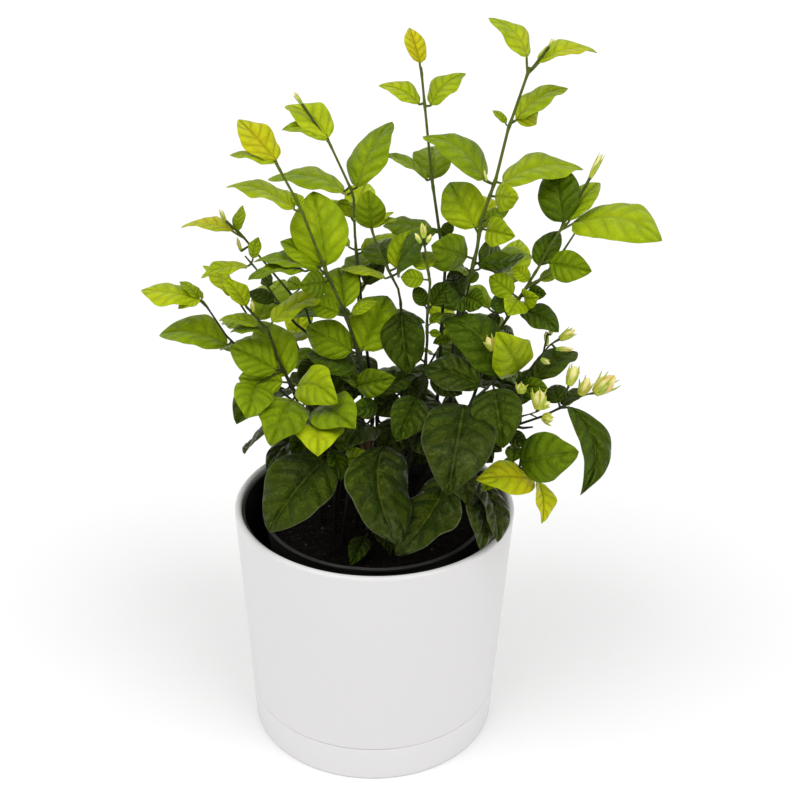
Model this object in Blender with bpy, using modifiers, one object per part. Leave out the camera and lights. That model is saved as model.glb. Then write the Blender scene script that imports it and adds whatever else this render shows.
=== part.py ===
"""A potted arabian jasmine: leafy stems with bud sprays in potting soil, in a round white planter.

Units are metres, +Z up, the origin under the middle of the saucer. The plant's stems, leaves and buds
are read off a picture as pixels with a depth in millimetres, and each is set in space along its own
line of sight. The stems at the back are grown by rule.
"""

import math
import random
from collections import namedtuple

import bmesh
import bpy
from mathutils import Matrix, Quaternion, Vector, noise
from mathutils.bvhtree import BVHTree

SEGMENTS = 32
HOLE_SIDES = 6
GAP = 0.0003

PLANTER_TOP = 0.166
PLANTER_RIM_RADIUS = 0.093
PLANTER_FOOT_RADIUS = 0.0838
PLANTER_WALL = 0.0046
PLANTER_FLOOR = 0.0044
SEAM_HEIGHT = 0.0263
DRAIN_RADIUS = 0.008

SAUCER_FLOOR = 0.004
SAUCER_WALL = 0.0042
SAUCER_EDGE = 0.0016
SAUCER_FILLET = 0.003
SPIGOT_DEPTH = 0.006
SPIGOT_WALL = 0.003

LINER_TOP = 0.1628
LINER_WALL = 0.0016

NURSERY_TOP = 0.1605
NURSERY_FOOT = SEAM_HEIGHT + PLANTER_FLOOR + LINER_WALL + 2 * GAP
NURSERY_RIM_RADIUS = 0.075
NURSERY_ROLL = 0.0014
NURSERY_FOOT_RADIUS = 0.057
NURSERY_WALL = 0.0013

SOIL_RISE = 0.0016
LEAF_THICK = 0.0008
BACK_GIRTH = 0.0016
STEM_TAPER = 0.5
BRANCH_GIRTH = 0.8
UNION_SCALE = 1000.0
SMALLEST_LEAF = 0.009
SEAT_GAP = 0.0004
BUD_STALK = 0.0008
SEPAL_WIDE = 0.0005
SEPAL_REACH = 0.9
MOST_SEPALS = 3

# Readings of the picture. Pixels are in its 800 x 800 frame, depths in mm away from the pot's middle.
Leaf = namedtuple(
    "Leaf",
    "root tip wide age fold arch bend toward side lean",
    defaults=(0.5, 0.2, 0.08, 0.0, 0, 0, 0.66),
)
Bud = namedtuple("Bud", "neck tip wide depth sepals blush", defaults=(0, 5, 0.0))
Shoot = namedtuple("Shoot", "name foot girth stems leaves buds", defaults=((),))
Spray = namedtuple("Spray", "name on girth stems buds")

SHOOTS = (
    Shoot(
        name="pot_front_stem",
        foot=(-4, -32),
        girth=1.7,
        stems=(
            ((379, 480, -34), (384, 446, -34)),
            ((379, 480, -34), (372, 510, -42), (366, 530, -50)),
        ),
        leaves=(
            Leaf(root=(384, 446), tip=(401, 544), wide=58, age=0.96, arch=0.12, bend=0.21),
            Leaf(root=(366, 530), tip=(351, 564), wide=20, age=0.8),
            Leaf(root=(373, 515), tip=(391, 553), wide=17, age=0.9),
        ),
    ),
    Shoot(
        name="pot_left_stem",
        foot=(-20, -30),
        girth=1.7,
        stems=(((348, 480, -34), (333, 450, -34), (326, 436, -32)),),
        leaves=(
            Leaf(root=(331, 451), tip=(268, 530), wide=60, age=0.93, arch=0.1, toward=1),
            Leaf(root=(326, 444), tip=(342, 480), wide=18, age=0.66, toward=1),
            Leaf(root=(340, 462), tip=(370, 455), wide=20, age=0.45, toward=1),
            Leaf(root=(328, 438), tip=(357, 442), wide=18, age=0.7),
        ),
    ),
    Shoot(
        name="front_stem",
        foot=(14, -36),
        girth=1.8,
        stems=(
            (
                (440, 480, -38),
                (452, 440, -40),
                (470, 404, -42),
                (487, 388, -34),
                (502, 370, -24),
            ),
        ),
        leaves=(
            Leaf(root=(502, 371), tip=(446, 317), wide=32, age=0.78, bend=0.1),
            Leaf(root=(486, 388), tip=(423, 367), wide=34, age=0.92, arch=0.12),
            Leaf(root=(492, 382), tip=(503, 446), wide=47, age=0.9, arch=0.12, toward=1),
            Leaf(root=(464, 405), tip=(448, 492), wide=68, age=0.92, arch=0.1),
            Leaf(root=(446, 478), tip=(394, 553), wide=47, age=0.98, arch=0.06, bend=-0.15),
            Leaf(root=(449, 450), tip=(470, 505), wide=26, age=0.95, toward=1),
        ),
        buds=(
            Bud(neck=(493, 350), tip=(487, 337), wide=11, depth=-8, sepals=7, blush=0.7),
        ),
    ),
    Shoot(
        name="right_bottom_stem",
        foot=(30, -30),
        girth=1.6,
        stems=(
            (
                (470, 478, -36),
                (495, 472, -46),
                (513, 466, -50),
                (525, 471, -50),
                (537, 480, -50),
            ),
        ),
        leaves=(
            Leaf(root=(520, 461), tip=(577, 452), wide=46, age=0.6, toward=1),
            Leaf(root=(534, 480), tip=(478, 478), wide=27, age=0.1, fold=0.25),
            Leaf(root=(538, 482), tip=(543, 523), wide=17, age=0.16, fold=0.3),
            Leaf(root=(512, 465), tip=(514, 444), wide=16, age=0.6),
            Leaf(root=(500, 472), tip=(514, 460), wide=12, age=0.4),
            Leaf(root=(503, 472), tip=(483, 491), wide=14, age=0.36),
            Leaf(root=(480, 482), tip=(500, 541), wide=22, age=0.97, toward=1),
            Leaf(root=(474, 480), tip=(483, 549), wide=13, age=0.94),
        ),
    ),
    Shoot(
        name="left_middle_stem",
        foot=(-26, -16),
        girth=1.7,
        stems=(
            (
                (334, 440, -22),
                (316, 414, -22),
                (300, 398, -20),
                (290, 383, -18),
                (280, 365, -16),
                (275, 350, -14),
                (268, 330, -14),
                (255, 316, -14),
                (246, 306, -14),
            ),
        ),
        leaves=(
            Leaf(root=(316, 418), tip=(318, 453), wide=47, age=0.27, arch=0.14, toward=1),
            Leaf(root=(319, 407), tip=(354, 426), wide=44, age=0.42, toward=1),
            Leaf(root=(289, 385), tip=(336, 402), wide=39, age=0.28, toward=1, bend=-0.12),
            Leaf(root=(290, 382), tip=(258, 320), wide=45, age=0.34),
            Leaf(root=(276, 370), tip=(230, 346), wide=34, age=0.45),
            Leaf(root=(288, 384), tip=(238, 378), wide=31, age=0.36),
            Leaf(root=(257, 384), tip=(247, 416), wide=38, age=0.42, toward=1),
            Leaf(root=(298, 393), tip=(271, 443), wide=45, age=0.5, toward=1),
            Leaf(root=(272, 322), tip=(325, 293), wide=18, age=0.2),
            Leaf(root=(266, 328), tip=(219, 319), wide=11, age=0.3),
            Leaf(root=(265, 331), tip=(230, 331), wide=8, age=0.42),
            Leaf(root=(246, 306), tip=(224, 278), wide=18, age=0.25),
        ),
        buds=(Bud(neck=(253, 312), tip=(252, 301), wide=6),),
    ),
    Shoot(
        name="far_left_stem",
        foot=(-36, -2),
        girth=1.5,
        stems=(
            (
                (322, 432, -6),
                (302, 408, -4),
                (284, 394, -2),
                (252, 362, 4),
                (236, 347, 4),
                (222, 330, 4),
                (210, 312, 4),
                (203, 301, 4),
            ),
        ),
        leaves=(
            Leaf(root=(227, 345), tip=(159, 333), wide=30, age=0.32, arch=0.14),
            Leaf(root=(198, 298), tip=(141, 288), wide=22, age=0.2, bend=-0.08),
            Leaf(root=(200, 299), tip=(178, 308), wide=12, age=0.25),
            Leaf(root=(199, 298), tip=(180, 281), wide=10, age=0.3),
            Leaf(root=(202, 299), tip=(199, 289), wide=4, age=0.2),
            Leaf(root=(316, 424), tip=(292, 452), wide=30, age=0.9),
        ),
    ),
    Shoot(
        name="left_tall_stem",
        foot=(-12, -8),
        girth=1.9,
        stems=(
            (
                (372, 430, -10),
                (366, 390, -10),
                (358, 352, -10),
                (352, 335, -10),
                (345, 313, -10),
                (335, 290, -10),
                (327, 274, -10),
                (318, 252, -8),
                (310, 232, -6),
                (302, 212, -6),
                (292, 192, -4),
                (280, 170, -4),
                (276, 163, -4),
            ),
        ),
        leaves=(
            Leaf(root=(329, 272), tip=(313, 190), wide=54, age=0.36, toward=-1),
            Leaf(root=(276, 160), tip=(239, 118), wide=29, age=0.1, bend=-0.06),
            Leaf(root=(276, 163), tip=(230, 153), wide=10, age=0.22),
            Leaf(root=(302, 212), tip=(227, 184), wide=17, age=0.2, bend=0.06),
            Leaf(root=(303, 212), tip=(294, 192), wide=11, age=0.3),
            Leaf(root=(326, 274), tip=(281, 240), wide=24, age=0.4),
            Leaf(root=(325, 274), tip=(254, 259), wide=14, age=0.45),
            Leaf(root=(305, 271), tip=(248, 277), wide=18, age=0.5),
            Leaf(root=(325, 283), tip=(301, 286), wide=27, age=0.55),
            Leaf(root=(344, 317), tip=(338, 266), wide=36, age=0.42),
            Leaf(root=(344, 316), tip=(311, 302), wide=21, age=0.33),
            Leaf(root=(346, 319), tip=(377, 301), wide=11, age=0.33),
            Leaf(root=(362, 350), tip=(388, 295), wide=50, age=0.42),
            Leaf(root=(357, 355), tip=(306, 326), wide=36, age=0.5),
            Leaf(root=(363, 374), tip=(308, 352), wide=26, age=0.74),
            Leaf(root=(357, 386), tip=(394, 378), wide=27, age=0.6, toward=1),
            Leaf(root=(367, 392), tip=(335, 366), wide=15, age=0.6),
            Leaf(root=(377, 406), tip=(351, 411), wide=21, age=0.66, toward=1),
            Leaf(root=(368, 398), tip=(415, 374), wide=22, age=0.85),
            Leaf(root=(371, 420), tip=(347, 446), wide=34, age=0.96),
        ),
    ),
    Shoot(
        name="bud_stem",
        foot=(16, -12),
        girth=1.7,
        stems=(
            (
                (414, 430, -14),
                (423, 385, -14),
                (427, 345, -12),
                (427, 320, -12),
                (429, 300, -12),
                (430, 280, -12),
                (427, 262, -12),
                (425, 248, -12),
            ),
        ),
        leaves=(
            Leaf(root=(422, 392), tip=(397, 440), wide=36, age=0.88, toward=1),
            Leaf(root=(428, 280), tip=(400, 277), wide=18, age=0.33),
            Leaf(root=(432, 274), tip=(421, 251), wide=24, age=0.32),
            Leaf(root=(426, 311), tip=(415, 286), wide=15, age=0.82),
            Leaf(root=(429, 311), tip=(449, 282), wide=20, age=0.82),
            Leaf(root=(427, 326), tip=(443, 313), wide=9, age=0.55),
            Leaf(root=(427, 332), tip=(441, 334), wide=8, age=0.5),
            Leaf(root=(424, 372), tip=(462, 394), wide=24, age=0.9, toward=1),
            Leaf(root=(425, 362), tip=(404, 348), wide=24, age=0.92),
            Leaf(root=(416, 420), tip=(437, 455), wide=32, age=0.96),
        ),
    ),
    Shoot(
        name="right_tall_stem",
        foot=(22, 4),
        girth=2.0,
        stems=(
            (
                (446, 430, 4),
                (453, 350, 6),
                (460, 300, 8),
                (470, 275, 8),
                (474, 262, 8),
                (478, 244, 8),
                (480, 225, 8),
                (486, 205, 8),
                (491, 193, 8),
                (497, 175, 8),
                (503, 150, 8),
                (508, 130, 8),
                (520, 93, 8),
                (530, 67, 8),
            ),
        ),
        leaves=(
            Leaf(root=(527, 57), tip=(490, 16), wide=19, age=0.2, bend=0.13),
            Leaf(root=(538, 63), tip=(597, 50), wide=14, age=0.2, bend=-0.06),
            Leaf(root=(511, 124), tip=(567, 86), wide=20, age=0.28, bend=-0.07),
            Leaf(root=(512, 124), tip=(538, 106), wide=20, age=0.2, bend=0.1),
            Leaf(root=(508, 126), tip=(493, 110), wide=7, age=0.3),
            Leaf(root=(484, 180), tip=(424, 134), wide=28, age=0.36, bend=0.15),
            Leaf(root=(503, 183), tip=(583, 166), wide=26, age=0.3, bend=-0.09),
            Leaf(root=(481, 234), tip=(449, 181), wide=42, age=0.3),
            Leaf(root=(491, 197), tip=(517, 198), wide=28, age=0.33, toward=1),
            Leaf(root=(482, 222), tip=(509, 209), wide=12, age=0.4),
            Leaf(root=(480, 229), tip=(514, 236), wide=28, age=0.3, toward=1),
            Leaf(root=(476, 260), tip=(433, 246), wide=35, age=0.5, toward=1),
            Leaf(root=(474, 266), tip=(503, 252), wide=34, age=0.66),
            Leaf(root=(478, 264), tip=(525, 257), wide=18, age=0.66, side=1),
            Leaf(root=(463, 295), tip=(450, 304), wide=28, age=0.74, toward=1),
            Leaf(root=(464, 295), tip=(483, 305), wide=24, age=0.66, toward=1),
            Leaf(root=(462, 300), tip=(453, 274), wide=24, age=0.86),
            Leaf(root=(466, 286), tip=(478, 272), wide=10, age=0.6),
            Leaf(root=(455, 338), tip=(433, 343), wide=10, age=0.5),
            Leaf(root=(451, 372), tip=(478, 352), wide=32, age=0.93),
            Leaf(root=(448, 400), tip=(424, 430), wide=36, age=0.95),
            Leaf(root=(446, 424), tip=(474, 462), wide=34, age=0.96),
            Leaf(root=(447, 412), tip=(470, 446), wide=32, age=0.95, toward=1),
        ),
        buds=(
            Bud(neck=(549, 47), tip=(554, 38), wide=5, sepals=3),
            Bud(neck=(487, 181), tip=(484, 170), wide=4, sepals=2),
        ),
    ),
    Shoot(
        name="right_stem",
        foot=(34, 14),
        girth=1.8,
        stems=(
            (
                (462, 430, 6),
                (482, 372, 0),
                (500, 330, -6),
                (514, 307, -8),
                (523, 292, -8),
                (530, 280, -8),
                (540, 265, -8),
                (550, 246, -6),
                (558, 232, -6),
                (564, 225, -6),
            ),
            (
                (526, 288, -8),
                (541, 279, -8),
                (552, 266, -6),
                (562, 253, -4),
                (570, 240, -4),
                (575, 233, -4),
            ),
        ),
        leaves=(
            Leaf(root=(563, 222), tip=(555, 163), wide=40, age=0.62),
            Leaf(root=(569, 221), tip=(599, 181), wide=25, age=0.34),
            Leaf(root=(573, 223), tip=(662, 237), wide=38, age=0.3, bend=-0.12),
            Leaf(root=(541, 262), tip=(591, 271), wide=30, age=0.5),
            Leaf(root=(533, 272), tip=(558, 230), wide=24, age=0.62),
            Leaf(root=(534, 284), tip=(514, 267), wide=15, age=0.26),
            Leaf(root=(536, 284), tip=(556, 272), wide=12, age=0.28),
            Leaf(root=(524, 291), tip=(546, 294), wide=14, age=0.76),
            Leaf(root=(519, 298), tip=(489, 276), wide=22, age=0.34),
            Leaf(root=(519, 296), tip=(509, 314), wide=26, age=0.28, toward=1),
            Leaf(root=(521, 296), tip=(538, 298), wide=20, age=0.3, toward=1),
            Leaf(root=(515, 307), tip=(559, 331), wide=23, age=0.72, bend=-0.05),
            Leaf(root=(507, 318), tip=(496, 293), wide=20, age=0.64),
            Leaf(root=(500, 330), tip=(488, 314), wide=16, age=0.9),
            Leaf(root=(497, 337), tip=(514, 332), wide=18, age=0.9),
            Leaf(root=(482, 372), tip=(506, 352), wide=30, age=0.93),
            Leaf(root=(472, 402), tip=(504, 424), wide=34, age=0.94, toward=1),
            Leaf(root=(464, 424), tip=(492, 462), wide=32, age=0.96),
        ),
        buds=(
            Bud(neck=(590, 178), tip=(602, 154), wide=8, sepals=4),
        ),
    ),
    Shoot(
        name="right_low_stem",
        foot=(36, -8),
        girth=1.7,
        stems=(
            (
                (468, 440, -14),
                (492, 412, -18),
                (512, 390, -18),
                (526, 373, -16),
                (536, 362, -14),
            ),
        ),
        leaves=(
            Leaf(root=(523, 379), tip=(498, 334), wide=43, age=0.3, arch=0.1, toward=1),
            Leaf(root=(534, 380), tip=(577, 350), wide=24, age=0.85, toward=-1),
            Leaf(root=(514, 386), tip=(547, 388), wide=20, age=0.55, toward=1),
            Leaf(root=(510, 390), tip=(540, 373), wide=20, age=0.66),
            Leaf(root=(508, 394), tip=(530, 399), wide=18, age=0.85),
            Leaf(root=(478, 428), tip=(500, 450), wide=28, age=0.94),
        ),
    ),
    Shoot(
        name="far_right_stem",
        foot=(42, -18),
        girth=1.7,
        stems=(
            (
                (484, 450, -28),
                (502, 434, -34),
                (517, 425, -36),
                (531, 421, -36),
                (548, 414, -34),
                (557, 410, -32),
                (566, 405, -30),
            ),
            ((514, 426, -36), (523, 428, -36), (533, 427, -36)),
        ),
        leaves=(
            Leaf(root=(570, 407), tip=(583, 494), wide=30, age=0.8, bend=-0.2, toward=1, lean=0.42),
            Leaf(root=(562, 407), tip=(553, 384), wide=22, age=0.9),
            Leaf(root=(564, 406), tip=(580, 387), wide=16, age=0.88),
            Leaf(root=(505, 432), tip=(527, 445), wide=16, age=0.9, toward=1),
        ),
    ),
    Shoot(
        name="left_back_stem",
        foot=(-24, 18),
        girth=1.6,
        stems=(
            (
                (345, 430, 16),
                (330, 385, 18),
                (318, 345, 20),
                (306, 310, 22),
                (290, 293, 22),
                (277, 276, 22),
                (258, 255, 22),
                (248, 241, 22),
                (240, 233, 22),
            ),
            (
                (316, 340, 20),
                (298, 326, 14),
                (285, 312, 14),
                (272, 294, 14),
                (262, 278, 14),
                (254, 266, 14),
                (245, 256, 14),
            ),
        ),
        leaves=(
            Leaf(root=(233, 231), tip=(181, 225), wide=10, age=0.14),
            Leaf(root=(238, 231), tip=(242, 205), wide=11, age=0.3),
            Leaf(root=(247, 266), tip=(201, 276), wide=12, age=0.2),
            Leaf(root=(254, 262), tip=(258, 237), wide=12, age=0.35),
            Leaf(root=(280, 304), tip=(249, 291), wide=15, age=0.78),
            Leaf(root=(301, 287), tip=(287, 280), wide=14, age=0.4),
            Leaf(root=(272, 283), tip=(262, 276), wide=14, age=0.8),
            Leaf(root=(322, 356), tip=(298, 378), wide=18, age=0.85),
            Leaf(root=(327, 372), tip=(356, 366), wide=20, age=0.9),
            Leaf(root=(336, 404), tip=(306, 434), wide=36, age=0.92),
            Leaf(root=(343, 424), tip=(318, 457), wide=34, age=0.95),
            Leaf(root=(338, 410), tip=(362, 432), wide=28, age=0.94),
            Leaf(root=(324, 364), tip=(346, 342), wide=26, age=0.92),
        ),
        buds=(
            Bud(neck=(226, 221), tip=(219, 209), wide=6, sepals=3),
            Bud(neck=(241, 251), tip=(237, 237), wide=5, sepals=3),
        ),
    ),
    Shoot(
        name="upper_middle_stem",
        foot=(2, 6),
        girth=1.6,
        stems=(
            (
                (400, 420, 8),
                (402, 360, 8),
                (400, 297, 8),
                (389, 272, 12),
                (377, 245, 14),
                (371, 228, 14),
            ),
        ),
        leaves=(
            Leaf(root=(403, 303), tip=(408, 373), wide=36, age=0.86, toward=1, arch=0.1),
            Leaf(root=(371, 228), tip=(393, 211), wide=7, age=0.2),
            Leaf(root=(371, 228), tip=(398, 218), wide=7, age=0.3),
            Leaf(root=(371, 228), tip=(354, 218), wide=8, age=0.3),
            Leaf(root=(372, 228), tip=(368, 191), wide=29, age=0.4, toward=1),
            Leaf(root=(386, 272), tip=(380, 240), wide=36, age=0.62, side=1),
            Leaf(root=(385, 278), tip=(341, 268), wide=8, age=0.25),
            Leaf(root=(396, 268), tip=(410, 230), wide=26, age=0.3),
            Leaf(root=(397, 273), tip=(435, 228), wide=18, age=0.72, toward=1),
            Leaf(root=(401, 320), tip=(380, 345), wide=24, age=0.88, toward=1),
            Leaf(root=(401, 340), tip=(421, 322), wide=22, age=0.9),
            Leaf(root=(401, 376), tip=(424, 398), wide=32, age=0.94, toward=1),
            Leaf(root=(401, 392), tip=(376, 414), wide=32, age=0.95),
            Leaf(root=(400, 412), tip=(384, 456), wide=32, age=0.97),
        ),
    ),
    Shoot(
        name="centre_tall_stem",
        foot=(14, 26),
        girth=1.8,
        stems=(
            (
                (432, 430, 30),
                (440, 350, 32),
                (445, 275, 34),
                (441, 245, 34),
                (439, 223, 34),
                (436, 205, 34),
                (433, 187, 34),
                (431, 170, 34),
                (427, 130, 34),
                (426, 112, 34),
                (424, 90, 34),
                (421, 67, 34),
            ),
        ),
        leaves=(
            Leaf(root=(420, 63), tip=(410, 27), wide=19, age=0.08, bend=-0.07),
            Leaf(root=(419, 104), tip=(379, 84), wide=16, age=0.2, bend=0.04),
            Leaf(root=(431, 105), tip=(465, 72), wide=21, age=0.24, bend=-0.07),
            Leaf(root=(427, 180), tip=(379, 153), wide=9, age=0.34, bend=-0.04),
            Leaf(root=(434, 188), tip=(432, 144), wide=37, age=0.46),
            Leaf(root=(442, 231), tip=(383, 224), wide=18, age=0.5),
            Leaf(root=(441, 241), tip=(452, 221), wide=12, age=0.75),
            Leaf(root=(445, 290), tip=(468, 268), wide=20, age=0.86),
            Leaf(root=(442, 330), tip=(470, 318), wide=24, age=0.92),
            Leaf(root=(435, 404), tip=(462, 420), wide=34, age=0.96),
            Leaf(root=(432, 424), tip=(412, 464), wide=34, age=0.97),
        ),
    ),
    Shoot(
        name="second_tall_stem",
        foot=(-6, 24),
        girth=1.7,
        stems=(
            (
                (378, 420, 26),
                (368, 360, 28),
                (362, 310, 30),
                (358, 262, 30),
                (355, 236, 30),
                (355, 215, 30),
                (353, 195, 30),
                (346, 179, 30),
                (338, 163, 30),
                (328, 140, 30),
            ),
        ),
        leaves=(
            Leaf(root=(328, 138), tip=(285, 104), wide=28, age=0.24, bend=0.07),
            Leaf(root=(328, 140), tip=(282, 128), wide=16, age=0.28, bend=0.12),
            Leaf(root=(357, 187), tip=(390, 120), wide=31, age=0.4),
            Leaf(root=(344, 191), tip=(268, 176), wide=18, age=0.34, bend=0.1),
            Leaf(root=(352, 208), tip=(337, 202), wide=10, age=0.4),
            Leaf(root=(356, 254), tip=(380, 247), wide=23, age=0.3),
            Leaf(root=(360, 284), tip=(341, 266), wide=18, age=0.55),
            Leaf(root=(360, 290), tip=(384, 262), wide=18, age=0.8),
            Leaf(root=(365, 338), tip=(392, 322), wide=24, age=0.9),
            Leaf(root=(370, 372), tip=(346, 388), wide=34, age=0.94),
            Leaf(root=(374, 396), tip=(396, 414), wide=26, age=0.95),
            Leaf(root=(378, 418), tip=(402, 455), wide=34, age=0.96),
        ),
        buds=(
            Bud(neck=(302, 104), tip=(294, 92), wide=6, sepals=3),
            Bud(neck=(347, 195), tip=(337, 188), wide=5, sepals=2),
        ),
    ),
)

SPRAYS = (
    Spray(
        name="bud_spray_top",
        on="bud_stem",
        girth=0.8,
        stems=(((425, 246, -12), (424, 242, -12)),),
        buds=(
            Bud(neck=(424, 238), tip=(422, 223), wide=8, sepals=4),
            Bud(neck=(421, 243), tip=(415, 233), wide=6, sepals=3),
            Bud(neck=(427, 243), tip=(431, 234), wide=6, sepals=3),
        ),
    ),
    Spray(
        name="bud_spray_right",
        on="right_low_stem",
        girth=1.0,
        stems=(
            ((537, 361, -14), (543, 353, -14), (550, 345, -14), (557, 340, -14)),
            ((543, 353, -14), (546, 341, -16), (548, 332, -16)),
        ),
        buds=(
            Bud(neck=(560, 339), tip=(575, 330), wide=10, sepals=5, blush=0.4),
            Bud(neck=(551, 334), tip=(552, 321), wide=7, sepals=3),
            Bud(neck=(547, 345), tip=(546, 331), wide=6, sepals=4),
            Bud(neck=(556, 349), tip=(574, 349), wide=6, sepals=2),
            Bud(neck=(541, 359), tip=(550, 364), wide=7, sepals=4),
        ),
    ),
    Spray(
        name="bud_spray_far_right",
        on="far_right_stem",
        girth=1.0,
        stems=(
            ((567, 404, -30), (565, 395, -30), (568, 388, -30)),
            ((566, 402, -30), (578, 398, -30), (592, 393, -30)),
        ),
        buds=(
            Bud(neck=(569, 385), tip=(576, 366), wide=13, sepals=4, blush=0.1),
            Bud(neck=(581, 395), tip=(589, 378), wide=13, sepals=4, blush=0.4),
            Bud(neck=(595, 393), tip=(615, 376), wide=18, sepals=5, blush=0.8),
        ),
    ),
    Spray(
        name="bud_spray_low",
        on="far_right_stem",
        girth=0.9,
        stems=(
            ((520, 417, -40), (521, 408, -42), (521, 396, -42)),
            ((520, 417, -40), (530, 414, -44), (539, 411, -46)),
            ((530, 414, -44), (538, 418, -44), (545, 417, -44)),
        ),
        buds=(
            Bud(neck=(521, 393), tip=(521, 383), wide=12, sepals=5),
            Bud(neck=(538, 409), tip=(540, 390), wide=15, sepals=6, blush=0.2),
            Bud(neck=(543, 417), tip=(553, 420), wide=13, sepals=6),
            Bud(neck=(541, 408), tip=(550, 402), wide=9, sepals=4),
            Bud(neck=(520, 416), tip=(517, 409), wide=8, sepals=4),
        ),
    ),
)

# Stems at the back, which the picture hides: foot and top in mm, and a seed for the small draws.
BackStem = namedtuple("BackStem", "name foot top pairs seed")
BACK_STEMS = (
    BackStem(name="back_left_stem", foot=(-34, 34), top=(-96, 62, 286), pairs=4, seed=11),
    BackStem(name="back_stem", foot=(-8, 46), top=(-18, 104, 330), pairs=5, seed=23),
    BackStem(name="back_right_stem", foot=(30, 38), top=(92, 74, 296), pairs=4, seed=37),
    BackStem(name="back_low_left_stem", foot=(-30, 52), top=(-62, 116, 232), pairs=3, seed=41),
    BackStem(name="back_low_right_stem", foot=(12, 54), top=(52, 122, 240), pairs=3, seed=59),
    BackStem(name="back_inner_stem", foot=(40, 26), top=(66, 42, 345), pairs=4, seed=67),
)
# End of the readings.

# Where the picture was taken from: metres, with the pot's foot at the origin and +Y away from the viewer.
EYE = Vector((0.0157, -0.744, 0.607))
LOOK_DOWN = math.radians(26.2)
ROLL = math.radians(0.93)
FOCAL_PIXELS = 1290.0
MIDDLE = 400.0
FORWARD = Vector((0, math.cos(LOOK_DOWN), -math.sin(LOOK_DOWN)))
UPWARD = Vector((0, math.sin(LOOK_DOWN), math.cos(LOOK_DOWN)))
RIGHTWARD = Vector((1, 0, 0))

SOIL_TOP = 0.150
STEM_FOOT = 0.124
STEM_COLLAR_STEPS = 16
PETIOLE = 0.005
PETIOLE_WIDE = 0.0026
CLEAR_THICK = 0.0017
SAMPLE_STEP = 0.002
SLIM, BROAD = 0.3, 0.62
STEM_FREE = 0.006
# A leaf keeps above each height where it lies further out than the radius: soil, nursery rim, planter rim.
POT_LIMITS = ((0.154, 0.0), (0.163, 0.0715), (0.168, 0.0845))
BACK_LONG = (0.052, 0.030)
BACK_AGE = (0.95, 0.20)
BACK_CLIMB = (-28.0, 34.0)
BACK_BARE = 0.46
BACK_KNEE = (0.42, 0.024)
TRUNK_FOOT = (0.001, -0.014)
TRUNK_TOP_PIXEL = (364, 434)
TRUNK_TOP_DEPTH = -0.026
TRUNK_RADIUS = 0.0036
STEM_SLACK = 0.0007
ON_LINE = 0.00002


def sight(pixel):
    """The direction from the eye through a pixel, one unit long along the line of sight's own depth."""
    u, v = pixel[0] - MIDDLE, pixel[1] - MIDDLE
    across = u * math.cos(ROLL) + v * math.sin(ROLL)
    down = -u * math.sin(ROLL) + v * math.cos(ROLL)
    return FORWARD + (RIGHTWARD * across - UPWARD * down) / FOCAL_PIXELS


def place(pixel, depth):
    """The point seen at a pixel, depth metres behind the pot's middle."""
    ray = sight(pixel)
    return EYE + ray * ((depth - EYE.y) / ray.y)


def seen_at(point):
    """The pixel at which a point is seen."""
    ray = point - EYE
    far = ray.dot(FORWARD)
    across = ray.dot(RIGHTWARD) / far * FOCAL_PIXELS
    down = -ray.dot(UPWARD) / far * FOCAL_PIXELS
    u = across * math.cos(ROLL) - down * math.sin(ROLL)
    v = across * math.sin(ROLL) + down * math.cos(ROLL)
    return Vector((u + MIDDLE, v + MIDDLE))


def smooth_path(points, step):
    """Points about one step apart on a smooth curve through the given ones."""
    ends = [points[0] * 2 - points[1], *points, points[-1] * 2 - points[-2]]
    path = []
    for a, b, c, d in zip(ends, ends[1:], ends[2:], ends[3:]):
        count = max(1, round((c - b).length / step))
        for i in range(count):
            t = i / count
            path.append(
                (
                    b * 2
                    + (c - a) * t
                    + (a * 2 - b * 5 + c * 4 - d) * t**2
                    + (b * 3 - a - c * 3 + d) * t**3
                )
                / 2
            )
    return path + [points[-1]]


def stem_paths(shoot):
    """Each stem of a shoot as points in space: the first out of the soil, the rest off it."""
    paths = []
    for i, stem in enumerate(shoot.stems):
        points = [place((x, y), depth / 1000) for x, y, depth in stem]
        if i == 0:
            paths.append(rooted_path(shoot.foot, points))
        else:
            points[0] = nearest_on(paths, seen_at(points[0]))[0]
            paths.append(straightened(smooth_path(points, SAMPLE_STEP)))
    return paths


def key_points(path, slack):
    """The fewest points of a path that stay within slack of all of it, as their places in the list."""
    ends = (path[-1] - path[0]).normalized()
    off = [((p - path[0]) - ends * (p - path[0]).dot(ends)).length for p in path]
    far = max(range(len(path)), key=off.__getitem__)
    if off[far] <= slack:
        return [0, len(path) - 1]
    before = key_points(path[: far + 1], slack)
    after = key_points(path[far:], slack)
    return before[:-1] + [far + i for i in after]


def straightened(path):
    """The path drawn straight between its key points, with as many points as before."""
    picks = key_points(path, STEM_SLACK)
    made = []
    for a, b in zip(picks, picks[1:]):
        made += [path[a].lerp(path[b], (i - a) / (b - a)) for i in range(a, b)]
    return made + [path[-1]]


def rooted_path(foot, points):
    """A path straight up out of the soil to its collar, then smooth through the points."""
    low = Vector((foot[0] / 1000, foot[1] / 1000, STEM_FOOT))
    collar = low + Vector((0, 0, STEM_COLLAR_STEPS * SAMPLE_STEP))
    straight = [low.lerp(collar, i / STEM_COLLAR_STEPS) for i in range(STEM_COLLAR_STEPS)]
    return straightened(straight + smooth_path([collar, *points], SAMPLE_STEP))


def nearest_on(paths, pixel, spare=2):
    """The stem point seen nearest to a pixel, short of the last few, and how many pixels off it is."""
    points = [
        p for path in paths for p in path[: len(path) - spare] if p.z > SOIL_TOP + STEM_FREE
    ]
    best = min(points, key=lambda p: (seen_at(p) - Vector(pixel)).length_squared)
    return best, (seen_at(best) - Vector(pixel)).length


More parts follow.
